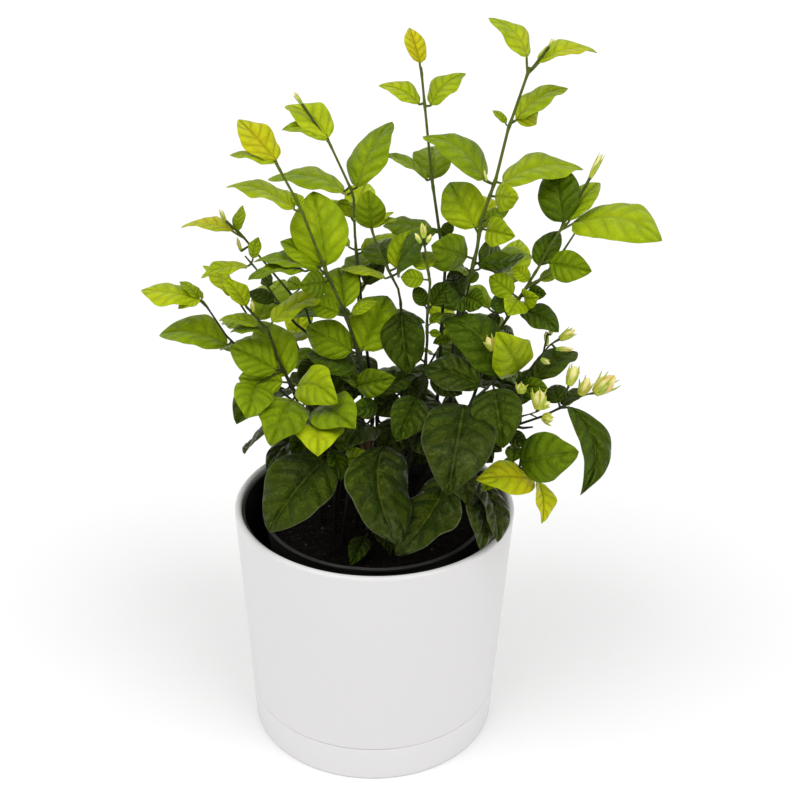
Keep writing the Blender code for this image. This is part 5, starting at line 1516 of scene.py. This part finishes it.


# Where the painted shade on the leaves falls: darkest low and near the middle of the plant.
SHADE_FOOT, SHADE_RISE = 0.15, 0.19
SHADE_REACH, SHADE_FRONT = 0.105, -0.02
VEIN_PAIRS = 5.0
VEIN_SWEEP = 0.24
VEIN_CURVE = 1.25
COLUMNS = (-1, -0.93, -0.74, -0.5, -0.26, -0.08, 0, 0.08, 0.26, 0.5, 0.74, 0.93, 1)
FEW_COLUMNS = (-1, -0.6, -0.12, 0, 0.12, 0.6, 1)
ROW_LENGTH = 0.0017
SMALL_LEAF = 0.018
BASE_NARROW = 0.0006
OUTLINE_WOBBLE = 0.022
MARGIN_DROOP = 0.14
TIP_DROOP = 0.05
TIP_START = 0.5
TIP_BLUNT, TIP_POINT = 0.22, 0.3
POINTED_AGE = 0.6
MIDRIB_WIDE = 0.09
DENT_SCALE = 85


def shade_at(point):
    """How open to the light a place in the plant is, for the painted shade that darkens the leaves: 0 low
    and far inside it, 1 at its outside.
    """
    high = min(1.0, max(0.0, (point.z - SHADE_FOOT) / SHADE_RISE))
    out = min(1.0, (Vector((point.x, point.y + SHADE_FRONT)).length / SHADE_REACH) ** 2)
    return 1 - (1 - high) ** 1.4 * (1 - out)


def vein_place(s, t):
    """How far up the midrib the side vein through a point of the blade starts."""
    return t - VEIN_SWEEP * abs(s) ** VEIN_CURVE


def leaf_surface(blade, s, t, leaf, frill):
    """A point of a fine blade: the blade's own form, with its midrib, quilting, dents and frilled margin."""
    long = (blade.tip - blade.base).length
    _, side, normal = blade.axes()
    point = blade.surface(s, t)
    half = blade.half_width(t)
    rough_half = max(half, PETIOLE_WIDE / 2 * (1 - t))
    across, right = abs(s), float(s > 0)
    swell = min(1.0, 5 * t * (1 - t))
    wobble = 1 + OUTLINE_WOBBLE * math.sin(2 * frill[0] + 9 * t + 1.7 * right)
    youth = max(0.0, 1 - blade.age / POINTED_AGE)
    wobble *= 1 - (TIP_BLUNT + TIP_POINT * youth) * max(0.0, (t - TIP_START) / (1 - TIP_START)) ** 2
    point += side * s * (max(half * wobble * leaf.fullness, BASE_NARROW) - rough_half)
    quilt = 0.5 - 0.5 * math.cos(math.tau * (VEIN_PAIRS * vein_place(s, t) + 0.5))
    quilt *= swell * (1 - across**4) * min(1.0, across * 4)
    lift = blade.wide * leaf.quilting * (0.25 + 0.75 * blade.age) * quilt
    lift += half * frill[2] * across
    lift -= blade.wide * leaf.crease * math.exp(-((across / MIDRIB_WIDE) ** 2)) * swell
    wave = math.sin(frill[0] + 13 * t + 1.3 * right) + 0.4 * math.sin(frill[1] + 27 * t - 0.9 * right)
    lift += leaf.frill * long * wave * across**2.5 * swell
    dent = noise.noise(point * DENT_SCALE + Vector((frill[0], 0, 0)))
    lift += leaf.dents * long * dent * swell * (0.35 + 0.65 * across)
    lift -= half * MARGIN_DROOP * across**4 + long * TIP_DROOP * t**4
    return point + normal * lift


def add_leaf(shape, blade, leaf, layers, draw):
    """One leaf's upper face, added to a bmesh as a grid laid on its fine surface."""
    long = (blade.tip - blade.base).length
    columns = COLUMNS if long > SMALL_LEAF else FEW_COLUMNS
    rows = max(5, round(long / ROW_LENGTH))
    made = bmesh.ops.create_grid(
        shape, x_segments=len(columns) - 1, y_segments=rows, size=1
    )["verts"]
    frill = (draw.uniform(0, math.tau), draw.uniform(0, math.tau), draw.uniform(*leaf.folds))
    chance = draw.random()
    tip = []
    for vert in made:
        s = columns[round((vert.co.x + 1) / 2 * (len(columns) - 1))]
        t = (vert.co.y + 1) / 2
        vert[layers["across"]] = s
        vert[layers["along"]] = t
        vert[layers["age"]] = blade.age
        vert[layers["chance"]] = chance
        # Painted shade: each point keeps how open to the light it lies in the plant, which darkens its
        # colour.
        vert[layers["shade"]] = shade_at(blade.surface(s, t))
        vert.co = leaf_surface(blade, s, t, leaf, frill)
        if t > 0.999:
            tip.append(vert)
    bmesh.ops.pointmerge(shape, verts=tip, merge_co=leaf_surface(blade, 0, 1, leaf, frill))


def evaluated_mesh(obj):
    """A new mesh of an object as its modifiers leave it; the object itself is removed."""
    bpy.context.view_layer.update()
    shown = obj.evaluated_get(bpy.context.evaluated_depsgraph_get())
    mesh = bpy.data.meshes.new_from_object(shown)
    bpy.data.objects.remove(obj, do_unlink=True)
    return mesh


def leaf_sheet(name, plant, leaf, finishes, seed):
    """All leaves of a stem as one mesh: upper faces first, thickened so that the under faces differ."""
    shape = bmesh.new()
    layers = {
        label: shape.verts.layers.float.new(label)
        for label in ("across", "along", "age", "chance", "shade")
    }
    draw = random.Random(seed)
    for blade in plant.blades:
        add_leaf(shape, blade, leaf, layers, draw)
    mesh = mesh_of(name, shape)
    for finish in finishes:
        mesh.materials.append(finish)
    sheet = linked(name, mesh)
    thick = sheet.modifiers.new("Blade thickness", "SOLIDIFY")
    thick.thickness = leaf.thickness
    thick.offset = 0
    thick.material_offset = 1
    return evaluated_mesh(sheet)


VEIN_OUTPUTS = ("Side Veins", "Midrib", "Quilt", "Lace", "Dimple", "Margin")


def vein_group():
    """A leaf's veins from its place across and along: midrib, side veins, quilting between, margin."""

    def fill(wiring, given):
        across = wiring.math("ABSOLUTE", given["Across"])
        sweep = wiring.times(wiring.math("POWER", across, VEIN_CURVE), VEIN_SWEEP)
        start = wiring.math("SUBTRACT", given["Along"], sweep)
        wander = wiring.noise(given["Place"], 260.0, 1.0)
        start = wiring.plus(start, wiring.times(wander, 0.03))
        turn = wiring.math("FRACT", wiring.times(start, VEIN_PAIRS))
        off = wiring.math("ABSOLUTE", wiring.math("SUBTRACT", turn, 0.5))
        reach = wiring.fade(across, 0.72, 1.0, 1.0, 0.0)
        side = wiring.times(wiring.fade(off, 0.02, 0.09, 1.0, 0.0), reach)
        midrib = wiring.fade(across, 0.015, 0.075, 1.0, 0.0)
        dome = wiring.times(wiring.fade(off, 0.0, 0.42), wiring.fade(across, 0.03, 0.2))
        net = wiring.add(
            "ShaderNodeTexVoronoi", {"Vector": given["Place"], "Scale": 420.0},
            feature="DISTANCE_TO_EDGE",
        )
        lace = wiring.fade(net.outputs["Distance"], 0.0, 0.12, 1.0, 0.0)
        dimple = wiring.fade(wiring.noise(given["Place"], 210.0, 3.0, 0.6), 0.3, 0.7)
        return {
            "Side Veins": side, "Midrib": midrib, "Quilt": dome, "Lace": lace, "Dimple": dimple,
            "Margin": wiring.fade(across, 0.95, 1.0),
        }

    return group_of(
        "leaf_veins",
        (("Across", "Float"), ("Along", "Float"), ("Place", "Vector")),
        tuple((label, "Float") for label in VEIN_OUTPUTS),
        fill,
    )


def tone_group(leaf):
    """A leaf's colour by its age, patchy, paler where it is younger; the patches are partly random tone and
    partly painted sheen.
    """

    def fill(wiring, given):
        patch = wiring.noise(given["Place"], 38.0, 3.0)
        fleck = wiring.noise(given["Place"], 190.0, 2.0)
        age = wiring.plus(given["Age"], wiring.times(given["Chance"], 0.10))
        # Patches, partly random tone and partly painted sheen, move the colour up and down the age ramp.
        age = wiring.plus(age, wiring.times(patch, 0.34))
        age = wiring.plus(age, wiring.times(fleck, 0.06))
        age = wiring.math("SUBTRACT", age, 0.25)
        young, bright, lime, green, dark = (
            tuple(colour) for colour in (leaf.young, leaf.bright, leaf.lime, leaf.green, leaf.dark)
        )
        tone = wiring.ramp(
            age, ((0.07, young), (0.19, bright), (0.36, lime), (0.66, green), (0.95, dark))
        )
        return {"Tone": tone, "Patch": patch}

    return group_of(
        "leaf_tone",
        (("Age", "Float"), ("Chance", "Float"), ("Place", "Vector")),
        (("Tone", "Color"), ("Patch", "Float")),
        fill,
    )


def leaf_finish(name, leaf, under):
    """A leaf's upper or under face."""
    made, shader, wiring = new_material(
        name, Specular_IOR_Level=0.12 if under else 0.38, Specular_Tint=(0.85, 0.95, 0.12)
    )
    place = wiring.place()
    age = wiring.attribute("age")
    veins = placed(
        wiring, vein_group(),
        {"Across": wiring.attribute("across"), "Along": wiring.attribute("along"), "Place": place},
    ).outputs
    tone = placed(
        wiring, tone_group(leaf), {"Age": age, "Chance": wiring.attribute("chance"), "Place": place}
    ).outputs
    young = wiring.fade(age, 0.06, 0.26, 1.0, 0.0)
    old, oldest = wiring.fade(age, 0.6, 0.92), wiring.fade(age, 0.84, 0.97)
    # Painted light and shade on the quilting: the domes between the side veins are painted lighter, the
    # creases darker.
    dome = wiring.times(veins["Quilt"], veins["Dimple"])
    colour = wiring.mix(1.0, tone["Tone"], wiring.fade(dome, 0.0, 0.8, 0.93, 1.12), "MULTIPLY")
    lines = wiring.math("MAXIMUM", veins["Side Veins"], veins["Midrib"])
    vein_tone = wiring.mix(young, (0.20, 0.26, 0.03), (0.26, 0.15, 0.004))
    strength = wiring.plus(wiring.times(young, 0.22), 0.04)
    strength = wiring.plus(strength, wiring.times(veins["Midrib"], 0.14))
    colour = wiring.mix(wiring.times(lines, strength), colour, vein_tone)
    # Old leaves' pale bloom, partly real dustiness and partly painted sheen: pale grey-green laid in
    # patches, most on the raised dimples.
    dust_and_sheen = wiring.times(wiring.fade(tone["Patch"], 0.42, 0.68), oldest)
    dust_and_sheen = wiring.times(dust_and_sheen, wiring.fade(veins["Dimple"], 0.2, 0.9, 0.02, 0.17))
    colour = wiring.mix(dust_and_sheen, colour, (0.22, 0.29, 0.12))
    margin = wiring.times(veins["Margin"], wiring.times(oldest, 0.2))
    colour = wiring.mix(margin, colour, (0.36, 0.40, 0.26))
    if under:
        pale = wiring.mix(age, (0.40, 0.48, 0.04), (0.16, 0.22, 0.07))
        colour = wiring.mix(0.35, colour, pale)
    # Painted shade: the colour is darkened where the leaf lies low and inside the plant.
    painted_shade = wiring.fade(wiring.attribute("shade"), 0.0, 0.9, 0.12, 1.0)
    colour = wiring.mix(1.0, colour, painted_shade, "MULTIPLY")
    wiring.put(shader.inputs["Base Color"], colour)
    gloss = wiring.fade(veins["Dimple"], 0.2, 0.8, 0.42, 0.24)
    gloss = wiring.plus(gloss, wiring.times(old, 0.2 if under else 0.05))
    wiring.put(shader.inputs["Roughness"], gloss)
    relief = wiring.plus(veins["Quilt"], wiring.times(veins["Dimple"], 0.75))
    relief = wiring.times(relief, wiring.fade(age, 0.2, 0.9, 0.25, 0.9))
    relief = wiring.math("SUBTRACT", relief, wiring.times(lines, 0.3))
    if not under:
        relief = wiring.math("SUBTRACT", relief, wiring.times(veins["Lace"], 0.06))
    wiring.bump(shader, relief, 0.25 if under else 0.8, 0.0012, invert=under)
    return made


class JASMINE_OT_leaves(Operator):
    """Make the leaves of every stem"""

    bl_idname = "jasmine.leaves"
    bl_label = "Leaves"

    def execute(self, context):
        leaf = context.scene.jasmine_leaf
        finishes = [leaf_finish("leaf_upper", leaf, False), leaf_finish("leaf_under", leaf, True)]
        for seed, (name, plant) in enumerate(grown().items()):
            if plant.blades:
                mesh = leaf_sheet(name, plant, leaf, finishes, seed)
                new_piece(f"{name}_leaves", mesh, finishes, [name], 60)
        return {"FINISHED"}


def bent_rods(name, rods, resolution):
    """Thin round rods, each a list of points and one of radii, as one mesh with closed ends."""
    curve = bpy.data.curves.new(name, "CURVE")
    curve.dimensions = "3D"
    curve.bevel_depth = 1.0
    curve.bevel_resolution = resolution
    curve.use_fill_caps = True
    for points, radii in rods:
        line = curve.splines.new("POLY")
        line.points.add(len(points) - 1)
        for knot, point, radius in zip(line.points, points, radii):
            knot.co = (*point, 1.0)
            knot.radius = radius
    mesh = evaluated_mesh(linked(name, curve))
    mesh.materials.clear()
    welded = bmesh.new()
    welded.from_mesh(mesh)
    bmesh.ops.remove_doubles(welded, verts=welded.verts, dist=1e-6)
    welded.to_mesh(mesh)
    welded.free()
    return mesh


STEM_SLIM = 0.8
NODE_SWELL = 0.35
NODE_REACH = 0.0022
PETIOLE_GIRTH = (0.00085, 0.0006)
PETIOLE_STEPS = 6
PETIOLE_END = 0.6


def stem_rod(path, girth, heels):
    """A stem's rod, tapering to its tip and swollen a little where leaves sit."""
    last = len(path) - 1
    radii = []
    for i, point in enumerate(path):
        near = min(((point - heel).length for heel in heels), default=1.0)
        swell = 1 + NODE_SWELL * math.exp(-((near / NODE_REACH) ** 2))
        radii.append(girth * STEM_SLIM * (1 - STEM_TAPER * i / last) * swell)
    return path, radii


def petiole_rod(blade):
    """A leaf's stalk, from the stem's middle into the foot of the midrib, curved like the blade."""
    inner = blade.surface(0, 0.06)
    _, _, normal = blade.axes()
    points = []
    for i in range(PETIOLE_STEPS + 1):
        share = i / PETIOLE_STEPS
        if share < 0.7:
            flat = blade.heel.lerp(blade.base, share / 0.7)
        else:
            flat = blade.base.lerp(inner, (share - 0.7) / 0.3)
        points.append(flat - normal * 0.0004 * math.sin(math.pi * share))
    thick, thin = PETIOLE_GIRTH
    size = min(1.0, blade.wide / 0.018 + 0.25)
    radii = [
        (thick + (thin - thick) * i / PETIOLE_STEPS) * size for i in range(PETIOLE_STEPS + 1)
    ]
    radii[-1] *= PETIOLE_END
    return points, radii


def mark_ages(mesh, samples):
    """Marks each point of a mesh with the age of the nearest of (place, age) samples."""
    tree = KDTree(len(samples))
    for i, (point, _) in enumerate(samples):
        tree.insert(point, i)
    tree.balance()
    ages = mesh.attributes.new("age", "FLOAT", "POINT")
    for vert in mesh.vertices:
        ages.data[vert.index].value = samples[tree.find(vert.co)[1]][1]


def twig_mesh(name, plant):
    """A plant's stems, leaf stalks and bud stalks as one mesh, older towards the soil."""
    heels = [blade.heel for blade in plant.blades] + [bud.heel for bud in plant.buds]
    rods, samples = [], []
    for number, path in enumerate(plant.paths):
        rods.append(stem_rod(path, plant.girth * (BRANCH_GIRTH if number else 1), heels))
        for point in path:
            low = min(1.0, max(0.0, (0.36 - point.z) / 0.2))
            samples.append((point, 0.35 if plant.spray else low))
    for blade in plant.blades:
        points, radii = petiole_rod(blade)
        rods.append((points, radii))
        samples += [(point, blade.age * 0.5) for point in points[2:]]
    for bud in plant.buds:
        points = [bud.heel.lerp(bud.neck, i / 5) for i in range(6)]
        if (bud.neck - bud.heel).length > GAP:
            rods.append((points, [BUD_STALK * (0.8 + 0.4 * i / 5) for i in range(6)]))
            samples += [(point, 0.2) for point in points[1:]]
    mesh = bent_rods(name, rods, 2)
    mark_ages(mesh, samples)
    return mesh


def twig_finish():
    """Stem skin: fresh green at the tips, olive to brown and rougher towards the soil."""
    made, shader, wiring = new_material("twig", Specular_IOR_Level=0.2)
    place = wiring.place()
    grain = wiring.grain(place, 220.0, 1300.0)
    age = wiring.plus(wiring.attribute("age"), wiring.fade(grain["Mottle"], 0.3, 0.7, -0.1, 0.1))
    tone = wiring.ramp(
        age,
        (
            (0.0, (0.10, 0.14, 0.010)),
            (0.35, (0.026, 0.036, 0.006)),
            (0.7, (0.010, 0.010, 0.004)),
            (1.0, (0.010, 0.007, 0.004)),
        ),
    )
    wiring.coat(shader, tone, wiring.fade(age, 0.2, 0.9, 0.42, 0.75))
    wiring.bump(shader, grain["Height"], 0.4, 0.0002)
    return made


class JASMINE_OT_twigs(Operator):
    """Make the stems, with the stalks of leaves and buds"""

    bl_idname = "jasmine.twigs"
    bl_label = "Stems and Stalks"

    def execute(self, context):
        finish = twig_finish()
        for name, plant in grown().items():
            new_piece(f"{name}_twigs", twig_mesh(name, plant), [finish], [name], 50)
        return {"FINISHED"}


PETAL_TURNS = 0.42
PETAL_FOLDS = 4
PETAL_DEPTH = 0.09
BUD_SEED = 5
BUD_SLIM = (0.5, 55.0, 0.85)
SEPAL_STEPS = 9
BUD_SIDES, BUD_ROWS = 20, 14
FULL_BUD = 0.0062
SEPAL_REACH, SEPAL_CURL = (0.75, 1.2), (0.0, 1.8)


def bud_radius(bud):
    """A bud's own radius without its sepals: small buds are slimmer."""
    least, gain, most = BUD_SLIM
    return bud.radius * min(most, least + gain * bud.radius)


def add_bud(shape, bud, layers):
    """One bud's body: a drop with petals wound round it."""
    axis = (bud.tip - bud.neck).normalized()
    turn = axis.to_track_quat("Z", "Y").to_matrix().to_4x4()
    long = (bud.tip - bud.neck).length
    made = bmesh.ops.create_uvsphere(shape, u_segments=BUD_SIDES, v_segments=BUD_ROWS, radius=1)["verts"]
    for vert in made:
        h = (vert.co.z + 1) / 2
        way = math.atan2(vert.co.y, vert.co.x)
        fold = (way / math.tau - PETAL_TURNS * h) * PETAL_FOLDS % 1.0
        swell = 1 + PETAL_DEPTH * (fold - 0.5) * math.sin(math.pi * h)
        taper = (0.80 + 0.36 * math.sin(math.pi * min(1.0, h * 1.05))) * swell
        vert[layers["along"]] = h
        vert[layers["fold"]] = 4 * fold * (1 - fold)
        vert[layers["blush"]] = bud.blush
        vert.co.x *= taper
        vert.co.y *= taper
    size = Matrix.Diagonal((bud_radius(bud), bud_radius(bud), long / 2, 1))
    middle = Matrix.Translation(bud.neck.lerp(bud.tip, 0.5)) @ turn
    bmesh.ops.transform(shape, matrix=middle @ size, verts=made)


def sepal_rods(bud, settings, draw):
    """A bud's narrow sepals: straps that hug it, swing round it and curl out at their points, from a cup."""
    axis = (bud.tip - bud.neck).normalized()
    long, radius = (bud.tip - bud.neck).length, bud_radius(bud)
    start = axis.orthogonal().normalized()
    rods = [([bud.neck - axis * 0.0006, bud.neck + axis * long * 0.06, bud.neck + axis * long * 0.2],
             [radius * 0.35, radius * 0.7, radius * 0.55])]
    count = bud.sepals + 2
    small = min(1.0, 0.5 + bud.radius / FULL_BUD)
    for i in range(count):
        turn = math.tau * (i + draw.uniform(-0.25, 0.25)) / count
        reach, curl = draw.uniform(*SEPAL_REACH), draw.uniform(*SEPAL_CURL)
        swing = draw.uniform(-1.0, 1.0)
        reach *= small
        curl *= small**2
        points, radii = [], []
        for j in range(SEPAL_STEPS):
            share = j / (SEPAL_STEPS - 1)
            outward = start.copy()
            outward.rotate(Quaternion(axis, turn + swing * share**2))
            out = radius * (0.4 + 0.75 * math.sin(math.pi * min(0.5, share * 0.75)))
            out += radius * curl * max(0.0, share - 0.45) ** 1.5
            along = share - 0.12 * curl * max(0.0, share - 0.6)
            points.append(bud.neck + axis * (long * reach * along) + outward * out)
            radii.append(settings.sepal_width / 2 * (1 - 0.8 * share**2) * min(1.0, radius / 0.0022))
        rods.append((points, radii))
    return rods


def petal_finish(bud):
    """A bud's petals: green at the foot, cream, blushed on the ripest, with painted shade along the petal
    seams.
    """
    made, shader, wiring = new_material("bud_petals", Specular_IOR_Level=0.4, Subsurface_Weight=0.0)
    place = wiring.place()
    along = wiring.attribute("along")
    cream = tuple(bud.cream)
    green = tuple(part * share for part, share in zip(cream, (0.5, 0.66, 0.16)))
    pale = tuple(min(1.0, part * 1.08 + 0.04) for part in cream)
    tone = wiring.ramp(along, ((0.1, green), (0.5, cream), (0.85, pale), (1.0, cream)))
    patch = wiring.fade(wiring.noise(place, 190.0, 2.0), 0.35, 0.65)
    blush = wiring.times(wiring.attribute("blush"), patch)
    tone = wiring.mix(blush, tone, tuple(bud.blush))
    # Painted shade: darker along the seams where one petal's edge lies over the next.
    seam = wiring.fade(wiring.attribute("fold"), 0.0, 0.45, 0.35, 0.0)
    tone = wiring.mix(seam, tone, tuple(part * 0.55 for part in cream))
    wiring.coat(shader, tone, wiring.fade(patch, 0.0, 1.0, 0.38, 0.5))
    streak = wiring.noise(place, 900.0, 2.0)
    wiring.bump(shader, streak, 0.15, 0.0002)
    return made


def sepal_finish(bud):
    """The sepals: yellow-green, mottled, darker towards brown in places."""
    made, shader, wiring = new_material("bud_sepals", Specular_IOR_Level=0.4)
    grain = wiring.grain(wiring.place(), 130.0, 900.0)
    sepal = tuple(bud.sepal)
    brown = (sepal[0] * 0.75, sepal[1] * 0.45, sepal[2] * 0.5)
    green = (sepal[0] * 0.55, sepal[1] * 0.8, sepal[2] * 0.8)
    tone = wiring.ramp(grain["Mottle"], ((0.35, green), (0.5, sepal), (0.72, brown)))
    wiring.coat(shader, tone, wiring.fade(grain["Fine"], 0.3, 0.7, 0.4, 0.55))
    wiring.bump(shader, grain["Fine"], 0.2, 0.0001)
    return made


class JASMINE_OT_buds(Operator):
    """Make the buds with their petals and sepals"""

    bl_idname = "jasmine.buds"
    bl_label = "Buds"

    def execute(self, context):
        settings = context.scene.jasmine_bud
        petals, sepals = petal_finish(settings), sepal_finish(settings)
        draw = random.Random(BUD_SEED)
        for name, plant in grown().items():
            if not plant.buds:
                continue
            shape = bmesh.new()
            layers = {
                label: shape.verts.layers.float.new(label) for label in ("along", "fold", "blush")
            }
            for bud in plant.buds:
                add_bud(shape, bud, layers)
            new_piece(f"{name}_buds", shape, [petals], [name], 60)
            rods = [rod for bud in plant.buds for rod in sepal_rods(bud, settings, draw)]
            new_piece(f"{name}_sepals", bent_rods(name, rods, 1), [sepals], [name], 60)
        return {"FINISHED"}


class StageSettings(PropertyGroup):
    """The studio: floor, light and camera."""

    floor_size: length_of("Floor size", "Width of the floor", 16.0)
    floor_tone: share_of("Floor tone", "How pale the floor is", 0.93)
    horizon: FloatProperty(
        name="Surround", description="Brightness of the white surround at the horizon", default=0.30
    )
    overhead: FloatProperty(
        name="Overhead", description="Brightness of the soft light straight above", default=0.62
    )
    key: FloatProperty(
        name="Key lights", description="Strength of each soft light from the front", default=0.82
    )


FRAME_PIXELS = 800
SENSOR = 36.0


def soft_sun(name, way, spread, strength):
    """A wide soft light from one side of the sky."""
    light = bpy.data.lights.new(name, "SUN")
    light.angle = spread
    light.energy = strength
    lamp = linked(name, light)
    lamp.matrix_world = Vector(way).to_track_quat("-Z", "Y").to_matrix().to_4x4()
    return lamp


def studio_world(stage):
    """White surroundings, brighter overhead than at the horizon, and plain white to the camera."""
    world = bpy.data.worlds.new("studio")
    world.use_nodes = True
    wiring = Wiring(world.node_tree)
    way = wiring.add("ShaderNodeTexCoord").outputs["Generated"]
    height = wiring.add("ShaderNodeSeparateXYZ", {"Vector": way}).outputs["Z"]
    height = wiring.math("MAXIMUM", height, 0.0)
    light = wiring.plus(wiring.times(height, stage.overhead), stage.horizon)
    seen = wiring.add("ShaderNodeLightPath").outputs["Is Camera Ray"]
    surround = world.node_tree.nodes["Background"]
    surround.inputs["Color"].default_value = (1.0, 1.0, 1.0, 1.0)
    wiring.put(surround.inputs["Strength"], wiring.math("MAXIMUM", light, seen))
    return world


KEY_WAYS = {"key_light_left": (0.62, 0.5, -1.15), "key_light_right": (-0.62, 0.5, -1.15)}
KEY_SPREAD = math.radians(38)


class JASMINE_OT_stage(Operator):
    """Set the pale floor, the soft studio light and the camera"""

    bl_idname = "jasmine.stage"
    bl_label = "Studio Stage"

    def execute(self, context):
        stage = context.scene.jasmine_stage
        plane = bmesh.new()
        bmesh.ops.create_grid(plane, x_segments=1, y_segments=1, size=stage.floor_size / 2)
        mesh = mesh_of("floor", plane)
        floor = linked("floor", mesh)
        finish, shader, _ = new_material("floor", Roughness=0.9, Specular_IOR_Level=0.0)
        shader.inputs["Base Color"].default_value = (*[stage.floor_tone] * 3, 1.0)
        mesh.materials.append(finish)
        context.scene.world = studio_world(stage)
        keys = [soft_sun(name, way, KEY_SPREAD, stage.key) for name, way in KEY_WAYS.items()]
        self.camera(context)
        context.scene.view_settings.view_transform = "Standard"
        return {"FINISHED"}

    def camera(self, context):
        """The camera, where the picture was taken from."""
        lens = bpy.data.cameras.new("camera")
        lens.sensor_width = SENSOR
        lens.lens = FOCAL_PIXELS / FRAME_PIXELS * SENSOR
        lens.clip_start = 0.01
        camera = linked("camera", lens)
        right = RIGHTWARD * math.cos(ROLL) + UPWARD * math.sin(ROLL)
        up = UPWARD * math.cos(ROLL) - RIGHTWARD * math.sin(ROLL)
        turn = Matrix((right, up, -FORWARD)).transposed().to_4x4()
        camera.matrix_world = Matrix.Translation(EYE) @ turn
        context.scene.camera = camera


class JASMINE_PT_builder(Panel):
    """Lists the builders and their settings"""

    bl_label = "Potted Jasmine"
    bl_idname = "JASMINE_PT_builder"
    bl_space_type = "VIEW_3D"
    bl_region_type = "UI"
    bl_category = "Jasmine"

    def draw(self, context):
        for settings in SETTINGS:
            held = getattr(context.scene, settings)
            box = self.layout.box()
            for name in held.__annotations__:
                box.prop(held, name)
        for operator in OPERATORS:
            self.layout.operator(operator.bl_idname)


SETTINGS = {
    "jasmine_pot": PotSettings,
    "jasmine_soil": SoilSettings,
    "jasmine_leaf": LeafSettings,
    "jasmine_bud": BudSettings,
    "jasmine_stage": StageSettings,
}
OPERATORS = (
    JASMINE_OT_saucer,
    JASMINE_OT_planter,
    JASMINE_OT_liner,
    JASMINE_OT_nursery_pot,
    JASMINE_OT_soil,
    JASMINE_OT_trunk,
    JASMINE_OT_leaves,
    JASMINE_OT_twigs,
    JASMINE_OT_buds,
    JASMINE_OT_stage,
)


def register():
    for name, settings in SETTINGS.items():
        bpy.utils.register_class(settings)
        setattr(bpy.types.Scene, name, PointerProperty(type=settings))
    for made in (*OPERATORS, JASMINE_PT_builder):
        bpy.utils.register_class(made)


def unregister():
    for made in (JASMINE_PT_builder, *reversed(OPERATORS)):
        bpy.utils.unregister_class(made)
    for name, settings in reversed(SETTINGS.items()):
        delattr(bpy.types.Scene, name)
        bpy.utils.unregister_class(settings)


def main():
    """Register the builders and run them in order."""
    register()
    for operator in OPERATORS:
        _, _, name = operator.bl_idname.partition(".")
        getattr(bpy.ops.jasmine, name)()


if __name__ == "__main__":
    main()
